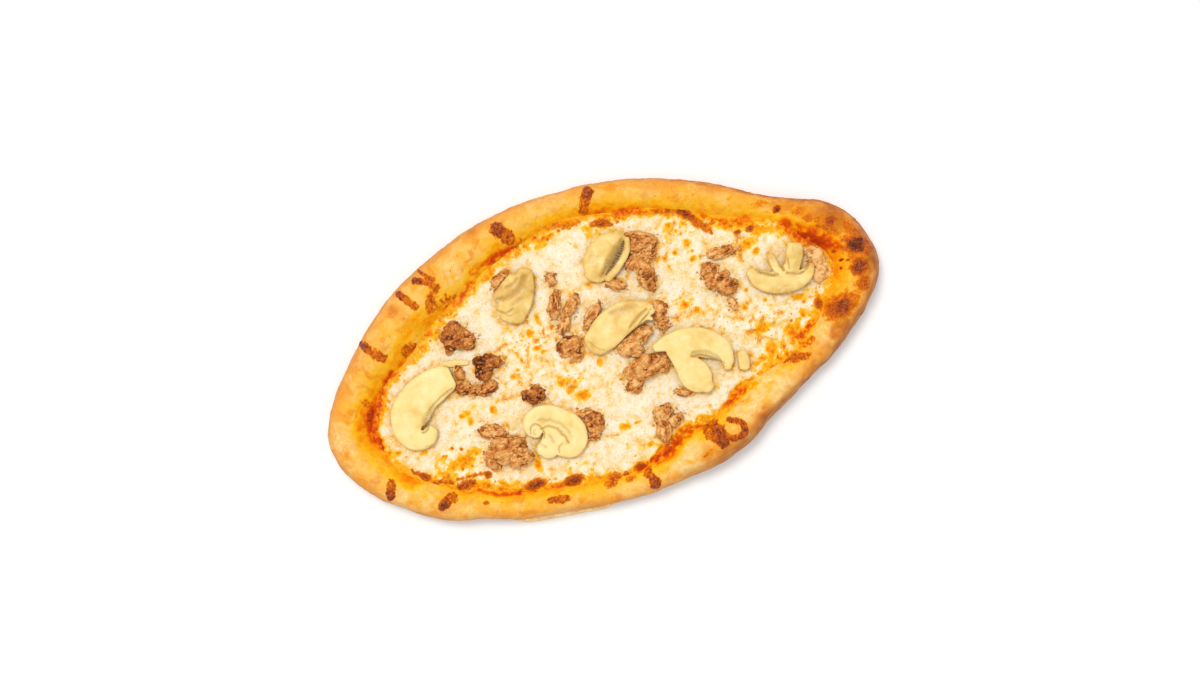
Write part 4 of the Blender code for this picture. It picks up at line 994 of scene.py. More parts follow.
class Skin:
    """The crust's points in one list, and at each of them its relief and how brown it is."""

    def __init__(self, stations):
        inset, height, up, steps = crust_sections(stations)
        crest_step = (len(OUTER_SECTION) - 1) / (len(OUTER_SECTION) + len(INNER_SECTION))
        outer = (steps <= crest_step)[:, None]
        grid = np.dstack([stations.point + inset[:, :, None] * stations.inward, height])
        self.spread_lip(stations, grid, inset, up, outer)
        around = np.roll(grid, -1, axis=1) - np.roll(grid, 1, axis=1)
        normal = np.cross(around, np.gradient(grid, axis=0))
        normal /= np.linalg.norm(normal, axis=2, keepdims=True) + 1e-9

        self.flat, self.normal = grid.reshape(-1, 3), normal.reshape(-1, 3)
        self.add_fields(steps, up, outer)

    def add_fields(self, steps, up, outer):
        """Where each point lies on the skin, and the noise that its parts share."""
        self.xy, self.up = self.flat[:, :2], up.ravel()
        self.band = np.repeat(steps, STATIONS)
        self.side = np.repeat(1.0 * outer.ravel(), STATIONS)
        self.above = smooth(self.normal[:, 2], 0.0, 0.35)
        self.length = np.tile(np.arange(STATIONS), CRUST_ROWS) * STATION_STEP
        self.unrolled = np.column_stack([self.length, self.band * SKIN_WIDTH])
        self.stretched = np.column_stack([self.unrolled / [3.5, 1], 0 * self.length])
        self.wobble = 0.22 * rough(self.flat, 3.0, 2, 50)
        gap, share = cells(self.xy, 1.6, 59)
        beads = (1 - (gap / 0.72) ** 2).clip(-1, 1) * (0.5 + share)
        self.lumps = rough(self.flat, 1.5, 2, 55) + 0.7 * beads
        self.relief = 0.42 * rough(self.flat, 11, 3, 10) + 0.16 * rough(self.flat, 2.6, 3, 20)
        self.brown, self.halo = np.zeros(len(self.flat)), np.zeros(len(self.flat))

    def spread_lip(self, stations, grid, inset, up, outer):
        """The solids' lumps and lip, and the ledge and crease that the lip makes."""
        flat = grid.reshape(-1, 3)
        lumps = lumpiness(flat, RIM_LUMPS).reshape(up.shape) * smooth(up, 0, 0.05)
        ragged = rough(flat, 7, 3, 68).reshape(up.shape)
        middle, half, reach = LIP
        lip = smooth(LIP_ENDS * (1 - ((grid[:, :, 0] - middle) / half) ** 2), 0, 1.5)
        lip = lip * (grid[:, :, 1] < 0) * outer
        self.crease = (lip * np.exp(-(((up - 0.42 - 0.04 * ragged) / 0.08) ** 2))).ravel()
        self.ledge = (smooth(lip + 0.5 * ragged, 0.3, 1.2) * smooth(up + 0.06 * ragged, 0.48, 0.28)).ravel()
        lip = lip * (inset + reach + 0.5 * ragged) * np.clip(1 - up / LIP_SHARE, 0, 1) ** 0.42
        outward = np.where(outer, SIDE_LUMPS * lumps * (1 - up), 0) + lip
        grid[:, :, :2] -= stations.inward * outward[:, :, None]
        grid[:, :, 2] += lumps * up

    def brown_to(self, amount):
        """Browns the skin at least this much."""
        self.brown = np.maximum(self.brown, amount)

    def add_pores(self):
        """Torn layers and a few pores in the outer side, and the crease over the ledge."""
        layers = 1 - np.abs(grain(self.stretched, 3.0, 30))
        self.relief -= self.side * smooth(self.up, 0.75, 0.35) * 0.35 * smooth(layers, 0.86, 1.0)
        away, share = cells(self.unrolled, 3.4, 40)
        self.relief -= 0.25 * smooth(away, 0.7, 0.2) * (share > 0.72) * self.side
        self.relief -= 0.3 * self.crease

    def add_strands(self):
        """Cheese that ran over the rim: beads of relief, burnt at the outer end."""
        for rows, burnt in zip(STRANDS, BURNT_ENDS):
            away, along = stroke(self.xy, curve(rows), 3)
            hooked = len(rows) > 3
            head = 0.7 if hooked else smooth(along, 5.0, 2.2)
            thick = 0.42 * max(row[2] for row in rows)
            bead = (0.7 + 0.5 * head) * thick * dome(away) + 0.32 * self.lumps
            self.relief += smooth(away + self.wobble, 1.12, 0.85) * self.above * bead
            spread = away if hooked else away / (1 + 0.35 * smooth(along, 3, 9))
            dark = (0.45 + burnt * head - 0.17 * self.lumps) * self.above
            self.brown_to(smooth(spread + 1.6 * self.wobble + 0.14 * self.lumps, 1.35, 0.7) * dark)
            halo = smooth(away + self.wobble, 2.4, 0.9) * (1 - 0.6 * head) * self.above
            self.halo = np.maximum(self.halo, halo * smooth(self.band, 0.40, 0.52))

    def add_blisters(self):
        """Bubbles baked dark, the largest with spokes and a burnt core."""
        for x, y, radius in BLISTERS:
            large = radius > LARGE_BLISTER
            away = oval(self.xy, x, y, radius * 1.05, radius * (0.72 if large else 0.9), 25)
            mask = smooth(away + self.wobble, 1.15, 0.7)
            self.relief += mask * (1.2 * dome(away) + 0.2 * self.lumps)
            self.brown_to(smooth(away + self.wobble, 1.5, 0.4) * (0.44 if radius > SMALL_BLISTER else 0.74))
            if large:
                turn = np.arctan2(self.xy[:, 1] - y, self.xy[:, 0] - x)
                spokes = 1 - 2 * np.abs(grain(2.6 * np.column_stack([np.cos(turn), np.sin(turn)]), 0.75, 57))
                self.relief += 0.25 * mask * spokes * smooth(away, 0.15, 0.5)
                core = smooth(oval(self.xy, x + 4, y, 5.4, 4.4) + self.wobble, 1.5, 0.2)
                self.brown += smooth(away, 1.5, 0.8) * (0.12 * spokes + 0.26 * core)

    def add_smears(self):
        """Soft browned areas, granular browned cheese and small bits of it."""
        blotchy = 0.5 * rough(self.flat, 5, 3, 52)
        for *place, amount in SMEARS:
            away = oval(self.xy, *place) + 1.3 * self.wobble + blotchy
            self.brown_to(amount * self.above * smooth(away, 1.6, 0.1))
        for *place, amount in GRITTY:
            mask = smooth(oval(self.xy, *place) + 1.8 * self.wobble + 0.5 * blotchy, 1.35, 0.6)
            self.relief += 0.5 * mask * self.lumps
            grit = amount - 0.06 * min(place[3], 3) * self.lumps + 0.35 * blotchy
            self.brown_to(mask * np.clip(grit, 0.15, 0.9))
        away, share = cells(self.unrolled, 5.0, 53)
        bits = smooth(away + 0.8 * self.wobble, 0.25 + 0.55 * share, 0.1) * (share > 0.84)
        self.brown_to(0.44 * bits * smooth(self.band, 0.30, 0.4))

    def displace(self):
        """Moves the points out by their relief, inside the box of the solids."""
        rising = np.clip(smooth(self.up, 0.0, 0.12) + smooth(self.band, 0.5, 0.6), 0, 1)
        low, high = (np.array(list(corner)) / MM for corner in cad_box)
        self.flat = np.clip(self.flat + self.normal * (self.relief * rising)[:, None], low, high)

    def oil(self):
        """How much oil and sauce the inner slope holds."""
        slope = smooth(self.band + 0.05 * rough(self.flat, 9, 3, 60), 0.54, 0.80)
        oil = 0.27 * slope * (1 + tones(self.xy, OILIER))
        oil += (0.08 + 0.10 * rough(self.flat, 6, 3, 61)) * smooth(self.band, 0.78, 0.92)
        red = strokes_mask(self.xy + 1.1 * self.wobble[:, None], STAINS, 1.9, 0.1)
        red *= smooth(self.band, 0.6, 0.8) * smooth(rough(self.flat, 4, 3, 62), -0.6, 0.0)
        return np.maximum(oil, 0.22 * self.halo) + redness(self.xy) * red

    def masks(self, stations):
        """All that the material asks for."""
        flat, band, ledge, x = self.flat, self.band, self.ledge, self.flat[:, 0]
        inner = smooth(band, 0.55, 0.82)
        facing = smooth(-stations.inward @ SHADED_WAY, 0.1, 0.8)
        shade = 0.68 * np.tile(facing, CRUST_ROWS) * smooth(x, 0, 50) * smooth(band, 0.02, 0.10)
        shade *= smooth(band + 0.05 * rough(flat, 12, 2, 64), 0.52, 0.34)
        outside = smooth(band + 0.06 * rough(flat, 12, 2, 66), 0.52, 0.26) * smooth(band, 0.08, 0.2)
        toast_and_crease_shade = tones(self.xy, TOASTED) * (1 - 0.75 * inner)
        toast_and_crease_shade = np.maximum(toast_and_crease_shade, (0.25 + 0.32 * smooth(x, 20, 120)) * outside) * (1 - ledge)
        # Paler dough and painted highlights on the inner slope, and pale underneath.
        pale = tones(self.xy, PALE_AND_HIGHLIT) * (1 - 0.25 * inner) * (1 - shade) + 0.6 * smooth(band, 0.12, 0.03)
        angle = 2 * math.pi * self.length / (STATION_STEP * STATIONS)
        layers = 0.30 * grain(self.stretched * [0.5, 1, 1], 1.7, 31) + 0.22 * rough(flat, 6, 3, 33)
        return {
            "band": band, "ledge": ledge, "shade": shade * (1 - ledge), "layers": 0.5 + layers,
            "round_x": LINE_RADIUS * np.cos(angle), "round_y": LINE_RADIUS * np.sin(angle),
            # Painted light and shade: the ledge is made paler still, and the crease over it darker.
            "toast_and_crease_shade": np.maximum(toast_and_crease_shade, 0.3 * self.crease), "pale": np.maximum(pale, 1.4 * ledge),
            "oil": np.clip(self.oil(), 0, 1), "brown": np.clip(self.brown, 0, 1),
        }


def make_crust():
    """The boat of dough, with its lumps, wrinkles, pores, browned drips and blisters."""
    stations = Stations(STATIONS)
    skin = Skin(stations)
    skin.add_pores()
    skin.add_strands()
    skin.add_blisters()
    skin.add_smears()
    skin.displace()
    edge = stations.at(OUTER_SECTION[0][0] * stations.width)
    under = [ring(edge * [1 - (1 - SPINE) * share, 1 - share], 0.0) for share in UNDERSIDE]
    plain = {"pale": 0.5, "toast_and_crease_shade": 0.3}
    masks = {
        name: np.concatenate([np.full(len(under) * STATIONS, plain.get(name, 0.0)), values])
        for name, values in skin.masks(stations).items()
    }
    faces = loft_faces(len(under) + CRUST_ROWS, STATIONS)
    piece = make_mesh("crust_baked", np.vstack(under + [skin.flat]), faces, masks)
    settle(piece, "crust", crust_material(), "crust")


# ---- Sauce and cheese ----
CHEESE_STATIONS = 640  # sections that the distance to the rim is measured from
CHEESE_STEP = 0.54  # spacing of the points over the cheese
CHEESE_FIELD = (134, 74)  # half the size of the field that they are laid out in
CHEESE_RIM = -3.2  # how far inside the rim's foot the sheet starts, which is a little outside it
EDGE_WIDTH = 6.5  # width of the oily edge
# Where that edge is wider: x, y, reach, and by how much.
EDGE_WIDER = (
    (-90, -36, 16, 7), (-86, 41, 16, 6), (84, -36, 16, 5), (104, -20, 16, 5), (98, 28, 16, 5),
    (-118, -8, 20, 2), (75, 45, 14, 4), (-60, -52, 12, 2), (110, 10, 12, 1), (-5, 62, 20, 1),
    (20, -58, 16, 1),
)
SHREDS = 300  # raised shreds of cheese
SHRED_FIELD = (118, 60)  # half the size of the field that they are strewn over
SHRED_STEPS = 4  # straight parts in each of them


def make_sauce():
    """The dish of sauce, lumpy where it shows along the rim."""
    stations = Stations(STATIONS)
    flank = FLANK / (FILL_LEVEL - FLOOR)
    low = FLOOR + GAP
    rings = [ring(stations.at(stations.width + flank * (FILL_LEVEL - low) + 0.5), low)]
    for inside in np.arange(-1.2, 9.1, 0.6):
        xy = stations.at(stations.width + inside)
        bumps = 0.35 * rough(xy, 4.5, 3, 70) + 0.2
        rings.append(ring(xy, SAUCE_EDGE + bumps - 3.8 * smooth(inside, 7, 9.5)))
    rings.append(ring(stations.at(stations.width + 14), low + SAUCE))
    points = np.vstack(rings)
    xy = points[:, :2]
    oil = 0.27 + 0.10 * rough(xy, 5, 3, 72) + 0.40 * strokes_mask(xy, STAINS, 2.2, -0.2)
    faces = loft_faces(len(rings), STATIONS)
    piece = make_mesh("tomato_sauce_glossy", points, faces, {"oil": np.clip(oil, 0.15, 0.85)})
    settle(piece, "sauce", sauce_material(), "tomato_sauce")


def rim_distance(xy, stations):
    """How far each point lies inside the rim's foot, and the nearest section."""
    tangent = np.roll(stations.foot, -1, axis=0) - np.roll(stations.foot, 1, axis=0)
    tangent /= np.hypot(*tangent.T)[:, None]
    inner = np.column_stack([-tangent[:, 1], tangent[:, 0]])
    tree = kdtree.KDTree(len(stations.foot))
    for n, (x, y) in enumerate(stations.foot.tolist()):
        tree.insert((x, y, 0), n)
    tree.balance()
    found = np.array([tree.find((x, y, 0))[1] for x, y in xy.tolist()])
    return np.sum((xy - stations.foot[found]) * inner[found], axis=1), found


def cheese_base(xy):
    """Height of the solid cheese's top."""
    points = np.column_stack([xy, np.zeros(len(xy))])
    level = FILL_LEVEL + CHEESE_CROWN + lumpiness(points, CHEESE_LUMPS)
    for x, y, radius, high in BUBBLES:
        level += high * np.clip(1 - oval(xy, x, y, radius, radius) ** 2, 0, 1)
    return level


def strew_shreds(xy, stations):
    """Raised shreds of cheese that half melted: heights at the points."""
    draw = np.random.default_rng(11)
    height = np.zeros(len(xy))
    count = SHREDS
    while count:
        x, y = (draw.uniform(-half, half) for half in SHRED_FIELD)
        turn, bend = draw.uniform(0, math.pi), draw.uniform(-0.5, 0.5)
        length, half = draw.uniform(4, 11), draw.uniform(0.45, 0.85)
        if np.hypot(*(stations.foot - [x, y]).T).min() <= 6:
            continue
        count -= 1
        rows = []
        for n in range(SHRED_STEPS + 1):
            rows.append((x, y, half * (1 - 0.12 * abs(n - SHRED_STEPS / 2))))
            x += math.cos(turn) * length / SHRED_STEPS
            y += math.sin(turn) * length / SHRED_STEPS
            turn += bend
        away, _ = stroke(xy, rows, 1.4)
        height = np.maximum(height, 0.42 * dome(away) ** 1.4)
    return height


def cell_corners(grid):
    """The values at the four corners of each of a grid's cells."""
    return np.stack([grid[:-1, :-1], grid[1:, :-1], grid[1:, 1:], grid[:-1, 1:]], axis=2)


class Sheet:
    """The top of the cheese: its points, its quads, and the fields that relief and colours share."""

    def __init__(self, stations):
        xs, ys = (np.arange(-half, half, CHEESE_STEP) for half in CHEESE_FIELD)
        grid = np.stack(np.meshgrid(xs, ys, indexing="ij"), axis=2)
        xy = grid.reshape(-1, 2)
        inside, nearest = rim_distance(xy, stations)
        whole = cell_corners((inside > CHEESE_RIM).reshape(grid.shape[:2])).all(axis=2)
        quads = cell_corners(np.arange(len(xy)).reshape(grid.shape[:2]))[whole]
        used, compact = np.unique(quads, return_inverse=True)
        self.quads = compact.reshape(-1, 4).tolist()
        self.xy, self.inside, self.nearest = xy[used], inside[used], nearest[used]

        self.add_fields(stations)

    def add_fields(self, stations):
        """Warped places, patches, curds, grains, shreds and the oily edge."""
        xy = self.xy
        self.warp = 2.2 * np.column_stack([grain(xy, 9, seed) for seed in (100, 101)])
        self.bent = xy + self.warp
        self.haze = areas(xy + 2.5 * self.warp, HAZES)
        self.broken = areas(xy + 1.5 * self.warp, OILY_AREAS)
        self.wobble = 0.35 * rough(xy, 2.6, 3, 110)
        self.oily = areas(xy, [(*row, 1) for row in OIL_SPOTS], 1.7, 0.2, self.wobble)
        self.mounds = 0.60 * grain(self.bent, 11, 102) + 0.25 * grain(self.bent, 5.2, 104)
        big, big_share = cells(self.bent, 5.4, 107)
        small, small_share = cells(xy + 0.5 * self.warp, 2.7, 109)
        curds = 0.62 * (1 - (big / 3.1) ** 2) + 0.38 * (1 - (small / 1.6) ** 2)
        self.curds = np.clip(curds + 0.5 * (big_share + small_share - 1), -0.8, 1)
        self.grains = rough(xy, 1.5, 2, 106)
        self.shreds = strew_shreds(self.bent, stations)
        width = EDGE_WIDTH + sum(hills(xy, EDGE_WIDER))
        self.edge = smooth(self.inside + 3.0 * rough(xy, 8, 4, 114), width, 0.30 * width)

    def ridges(self):
        """Heights and browning of the ridges along the edge."""
        found = []
        for dark, rows in RIDGES:
            away, _ = stroke(self.xy + 0.4 * self.warp, rows, 3)
            away = away * (1 + 0.6 * self.wobble) + 0.9 * self.wobble
            found.append((0.7 * dome(away), (dark + 0.24 * self.grains) * smooth(away, 2.3, 0.2)))
        return np.max(found, axis=0)

    def blobs(self):
        """Heights and browning of the glossy blobs."""
        found = []
        for x, y, long, wide, dark in BLOBS:
            away = oval(self.xy, x, y, long, wide) + 0.6 * self.wobble
            found.append(((0.4 + 0.22 * wide) * dome(away), (0.44 + 0.34 * dark) * smooth(away, 1.6, 0.3)))
        return np.max(found, axis=0)

    def near_tuna(self):
        """Where the cheese rises under the flakes, and where it is tanned round them."""
        places = [oval(self.xy, *lobe[:5]) + 0.6 * self.wobble for lobe in each_of(TUNA.values())]
        under = np.max([smooth(away, 1.45, 0.95) for away in places], axis=0)
        around = np.max([smooth(away + 0.6 * self.wobble, 1.9, 0.9) for away in places], axis=0)
        return under, around

    def height(self, stations, under):
        """The solid cheese's level with curds and shreds, down to under the sauce at the ragged edge."""
        bare_rows = [(x, y, BARE_REACH, width) for x, y, width in BARE_SAUCE]
        bare = np.max(hills(stations.foot, bare_rows), axis=0)[self.nearest]
        ragged = 1.8 * rough(self.xy, 7, 3, 112) * np.clip(bare, 0.2, 1)
        cover = smooth(self.inside - 1.3 * bare + ragged, CHEESE_RIM, -0.6 + 0.4 * np.clip(bare, 0, 3))
        relief = 0.45 * self.mounds + 0.34 * self.curds + (0.06 + 0.08 * self.haze) * self.grains
        relief += 0.25 * self.shreds - 0.25 * self.oily + (1.0 + 0.8 * rough(self.xy, 5, 2, 136)) * under
        level = cheese_base(self.xy) - 0.35 + relief - 0.5 * smooth(self.inside, 5, 0)
        return level, cover

    def oil(self):
        """Oil along the edge and in pits, with islands of cheese in it, and sauce where it stains."""
        xy, warp = self.xy, self.warp
        islands = smooth(rough(xy, 3.4, 4, 120), 0.0, 0.30) * smooth(self.inside, 1.0, 4)
        oil = self.edge * (0.36 + 0.30 * rough(xy, 5, 3, 126)) * (1 - 0.85 * islands)
        patches = smooth(rough(xy + 0.5 * warp, 5.0, 4, 130), -0.12, 0.42)
        oil = np.maximum(oil, self.broken * patches * (0.34 + 0.26 * rough(xy, 3.2, 2, 132)))
        away, share = cells(xy + 0.8 * warp, 6.0, 128)
        drops = smooth(away + 1.2 * self.wobble, 0.6 + 1.5 * share, 0.0) * (share < 0.5 + 0.5 * self.haze)
        oil = np.maximum(np.maximum(oil, 0.28 * drops), 0.46 * self.oily)
        red = strokes_mask(xy + 0.5 * warp, STAINS, 1.9, 0.1) * smooth(rough(xy, 4, 3, 122), -0.6, 0.0)
        return oil + redness(xy) * red

    def flecks(self):
        """Small browned flecks, and coarser grit in the oily areas."""
        away, share = cells(self.xy + 0.4 * self.warp, 4.4, 134)
        grit = smooth(away + 1.5 * self.wobble, 0.5 + 1.5 * share, 0.1) * (share > 0.68)
        grit = (0.42 + 0.15 * self.grains) * grit * smooth(self.broken, 0.3, 0.8)
        away, share = cells(self.bent, 3.1, 116)
        flecks = 0.34 * np.maximum(self.haze, self.edge) * smooth(away, 1.1, 0.2) * (share > 0.62)
        return np.maximum(flecks, grit)

    def tone(self, around):
        """From deep peach to white, with painted shade beside the slices and between the curds, and tanned
        round the tuna.
        """
        # Painted shade along the edges of the mushroom slices.
        beside = strokes_mask(self.xy, each_of(MUSHROOMS.values()), 1.5, 1.0, 0.3 * self.wobble)
        tanned = around * smooth(rough(self.xy, 2.4, 2, 118), -0.5, 0.3)
        # Curds, shreds and mounds are lighter and the hollows between them darker: white cheese, and partly
        # painted light and shade.
        mottle = 0.7 * self.curds + 0.9 * rough(self.bent, 4.2, 4, 124)
        lively = np.maximum(self.haze, 0.8 * self.edge)
        tone = 0.55 + 0.16 * areas(self.xy + 2.5 * self.warp, WHITES) + (0.32 + 0.52 * lively) * mottle
        return tone + 0.30 * self.shreds + 0.10 * self.mounds - 0.24 * beside - 0.24 * lively - 0.26 * tanned


def close_under(piece):
    """Walls from the sheet's edge down to just over the sauce, and a flat face between them."""
    mesh = bmesh.new()
    mesh.from_mesh(piece.data)
    rim = [edge for edge in mesh.edges if edge.is_boundary]
    walls = bmesh.ops.extrude_edge_only(mesh, edges=rim)["geom"]
    for found in walls:
        if isinstance(found, bmesh.types.BMVert):
            found.co.z = (FLOOR + SAUCE + 2 * GAP) * MM
    open_edges = [found for found in walls if isinstance(found, bmesh.types.BMEdge) and found.is_boundary]
    bmesh.ops.holes_fill(mesh, edges=open_edges)
    bmesh.ops.recalc_face_normals(mesh, faces=mesh.faces)
    mesh.to_mesh(piece.data)
    mesh.free()


def make_cheese():
    """Melted cheese as a sheet over a fine grid, which dips under the sauce at its ragged edge."""
    stations = Stations(CHEESE_STATIONS)
    sheet = Sheet(stations)
    ridges, ridge_brown = sheet.ridges()
    blobs, blob_brown = sheet.blobs()
    under, around = sheet.near_tuna()
    level, cover = sheet.height(stations, under)
    low = SAUCE_EDGE - 1.2
    brown = np.max([ridge_brown, blob_brown, sheet.flecks()], axis=0)
    masks = {"tone": sheet.tone(around), "oil": sheet.oil(), "brown": brown}
    points = np.column_stack([sheet.xy, low + (level + ridges + blobs - low) * cover])
    piece = make_mesh("cheese_melted", points, sheet.quads, {k: np.clip(v, 0, 1) for k, v in masks.items()})
    close_under(piece)
    settle(piece, "cheese", cheese_material(), "cheese")


# ---- Mushroom slices ----
TUBE_STEPS = 60  # sections along a stroke ...
TUBE_SIDES = 28  # ... and points round each of them
END_REACH = 0.72  # a stroke's round ends close this far past it, in half-widths
VOXEL = 0.34  # how finely the strokes of a slice are joined
GILL_STEP = 1.4  # spacing of the gills


def highest_under(rows):
    """The highest point of the solid cheese under a topping given by rows of (x, y, half-width)."""
    reach = (-1, -0.5, 0, 0.5, 1)
    spread = np.array([(x + i * r, y + j * r) for x, y, r in rows for i in reach for j in reach])
    return cheese_base(spread).max()


def slice_level(name):
    """A slice's height as a function of x, for its middle."""
    rows = each_of(MUSHROOMS[name])
    base = highest_under(rows) + REST + SLICE / 2
    left, right = min(row[0] for row in rows), max(row[0] for row in rows)
    rise_left, rise_right = LIFTS.get(name, (0, 0))
    return lambda x: base + rise_left + (rise_right - rise_left) * np.clip((x - left) / (right - left), 0, 1)


def tube(rows, level, squareness):
    """A closed tube along rows of (x, y, half-width), with a boxy section and round ends."""
    path = spline(rows, TUBE_STEPS, closed=False)
    angle = 2 * math.pi * (np.arange(TUBE_SIDES) + 0.5) / TUBE_SIDES
    circle = np.array([np.cos(angle), np.sin(angle)])
    across, rise = np.sign(circle) * np.abs(circle) ** (2 / squareness)
    ahead = np.gradient(path[:, :2], axis=0)
    ahead /= np.hypot(*ahead.T)[:, None]
    end = [(push, math.sqrt(1 - (push / END_REACH) ** 2)) for push in np.linspace(0, 0.7, 9)]
    places = [(0, -push, share) for push, share in reversed(end)]
    places += [(n, 0.0, 1.0) for n in range(1, TUBE_STEPS - 1)]
    places += [(TUBE_STEPS - 1, push, share) for push, share in end]
    rings = []
    for n, push, share in places:
        x, _, half = path[n]
        high = min(SLICE / 2, SLICE_SLOPE * half + SLICE_LEAST) * math.sqrt(share)
        sideways = np.outer(across * half * share, [ahead[n][1], -ahead[n][0]])
        rings.append(ring(path[n, :2] + ahead[n] * push * half + sideways, level(x) + rise * high))
    return np.vstack(rings), loft_faces(len(rings), TUBE_SIDES)


def apply_modifier(found, kind, **settings):
    """Adds a modifier and applies it."""
    made = found.modifiers.new(kind, kind)
    for key, value in settings.items():
        setattr(made, key, value)
    graph = bpy.context.evaluated_depsgraph_get()
    data = bpy.data.meshes.new_from_object(found.evaluated_get(graph))
    found.modifiers.clear()
    old = found.data
    found.data = data
    bpy.data.meshes.remove(old)


def press_creases(lines, xy):
    """How deep the creases are, and how dark: browner flesh and painted shade."""
    deep, brown = np.zeros(len(xy)), np.zeros(len(xy))
    for rows, depth in lines:
        away, _ = stroke(xy, curve(rows), 3)
        deep += depth * np.exp(-(away**2))
        brown = np.maximum(brown, min(0.8, 0.35 + 0.4 * depth) * np.exp(-1.4 * away**2))
    return deep, brown


def cut_gills(lines, xy, drift, seed):
    """How deep and how dark the gills are."""
    deep, dark = np.zeros(len(xy)), np.zeros(len(xy))
    for rows, strength in lines:
        away, along = stroke(xy + drift, curve(rows), 2.2)
        ribs = 0.5 + 0.5 * np.cos(2 * math.pi * (along / GILL_STEP + 0.35 * grain(xy, 2.4, seed + 8)))
        mask = smooth(away + 0.25 * grain(xy, 1.6, seed + 9) + 0.45 * ribs, 1.35, 0.35)
        deep += mask * (0.25 + 0.40 * ribs)
        dark = np.maximum(dark, np.clip(mask * strength * (0.35 + 0.65 * ribs), 0, 1))
    return deep, dark


def make_slice(name, level, material):
    """One slice: its strokes joined, cut, creased, gilled and tinted."""
    tubes = [tube(rows, level, 3.2) for rows in MUSHROOMS[name] + FILLINGS.get(name, ())]
    piece = make_mesh(name + "_slice", *joined(tubes), {})
    apply_modifier(piece, "REMESH", mode="VOXEL", voxel_size=VOXEL * MM, use_smooth_shade=True)
    apply_modifier(piece, "SMOOTH", factor=0.5, iterations=6)
    points = vectors_of(piece.data.vertices, "co") / MM
    normal = vectors_of(piece.data.vertex_normals, "vector")
    if name in CUTS:
        place, facing = CUTS[name]
        facing = np.array(facing) / math.hypot(*facing)
        points[:, :2] -= np.clip((points[:, :2] - place) @ facing, 0, None)[:, None] * facing
    xy = points[:, :2]
    seed = sum(map(ord, name))
    drift = 0.45 * rough(xy, 3.0, 2, seed + 5)[:, None]
    pressed, crease = press_creases(CREASES.get(name, ()), xy + drift)
    cut, gill = cut_gills(GILLS.get(name, ()), xy, drift, seed)
    moved = 0.30 * rough(points, 9, 2, seed) + 0.06 * rough(points, 2.4, 2, seed + 3)
    moved -= smooth(normal[:, 2], 0.1, 0.6) * pressed + cut
    points = points + normal * moved[:, None]
    piece.data.vertices.foreach_set("co", (points * MM).astype(np.float32).ravel())
    piece.data.update()

    height = (points[:, 2] - level(points[:, 0])) / SLICE
    # A random tint, darker where the flesh is pressed in and lighter towards the top: painted shade and
    # light.
    tint = 0.22 * rough(points, 14, 2, seed + 6) + 0.10 * smooth(moved, -0.3, 0.3) + 0.05 * height
    # Sides and sloping tops are tinted tan: browner skin at the edge, and painted shade.
    side = 0.55 * smooth(normal[:, 2], 0.4, -0.1) + 0.15 * smooth(normal[:, 2], 0.9, 0.5)
    masks = {"crease": crease, "gill": gill, "tint": tint - SLICE_TONES.get(name, 0.0), "side": side}
    add_masks(piece, {k: np.clip(v, -1, 1) for k, v in masks.items()})
    settle(piece, "mushroom", material, name)


def make_shaving(material):
    """The thin strip beside the hooked slice."""
    base = highest_under(SHAVING) + 1.0
    points, faces = tube(SHAVING, lambda x: base, 2.2)
    xy = points[:, :2]
    points[:, 2] = base + 0.35 * (points[:, 2] - base + rough(xy, 5, 2, 150))
    points[:, :2] += 0.5 * np.column_stack([grain(xy, 4, 152), grain(xy, 3, 153)])
    masks = {name: np.zeros(len(points)) for name in ("crease", "gill", "side")}
    piece = make_mesh("mushroom_shaving", points, faces, masks | {"tint": 0.1 * rough(points, 4, 2, 155)})
    settle(piece, "mushroom", material)


# ---- Tuna ----
SCRAPS = 420  # crumbs strewn round the flakes
FIBRE_SIZE = (6.0, 1.5, 1.7)  # length, width and depth of a fibre


def ball(subdivisions):
    """Points and faces of a unit icosphere."""
    mesh = bmesh.new()
    bmesh.ops.create_icosphere(mesh, subdivisions=subdivisions, radius=1)
    points = np.array([tuple(vertex.co) for vertex in mesh.verts])
    faces = [[vertex.index for vertex in face.verts] for face in mesh.faces]
    mesh.free()
    return points, faces


def turned(points, degrees):
    """The points turned about the z axis."""
    c, s = math.cos(math.radians(degrees)), math.sin(math.radians(degrees))
    return points @ np.array([[c, s, 0], [-s, c, 0], [0, 0, 1]])


def spot_on(lobe, angle, out):
    """A place at an angle on a lobe, out from its middle in half-sizes."""
    x, y, long, wide, turn, _ = lobe
    spot = np.array([[long * out * math.cos(angle), wide * out * math.sin(angle), 0.0]])
    return turned(spot, turn)[0] + [x, y, 0]


def torn_lobe(lobe, base, seed, number, sphere):
    """A craggy lobe with fibres along its grain: points, faces and brightness."""
    x, y, long, wide, turn, height = lobe
    unit, faces = sphere
    inner = unit * [long, wide, height]
    fibres = inner / FIBRE_SIZE
    fibres[:, :2] += 0.45 * np.column_stack([grain(inner + 7, 4.0, seed), grain(inner, 3.4, seed + 2)])
    crags = (unit * LOBE_GRAIN + [seed + number, x, y]).tolist()
    crag = 1 + LOBE_CRAG * np.array([noise.noise(point) for point in crags])
    ridged = 1 - 2.4 * np.abs(grain(fibres + seed, 1.0, seed + number))
    grains = rough(inner + 3 * seed, 1.5, 2, seed + 5)
    torn = rough(inner + seed, 5.0, 3, seed + 9)
    size = crag * (1 + 0.26 * torn + 0.07 * ridged + 0.05 * grains)
    shape = unit * size[:, None] * [long, wide, (1 - LOBE_LIFT) * height]
    sunk = base - cheese_base(np.array([[x, y]]))[0] + 0.8
    below = shape[:, 2] < 0
    shape[below, 2] *= (sunk + LOBE_LIFT * height) / ((1 - LOBE_LIFT) * height)
    # Lighter fibres and grains; lighter where the lobe bulges and darker in its crevices, as painted light
    # and shade.
    bright = 0.56 + 0.26 * ridged + 0.12 * grains + 0.10 * torn - 0.26 * smooth(torn, -0.05, -0.45)
    return turned(shape, turn) + [x, y, base + LOBE_LIFT * height], faces, bright


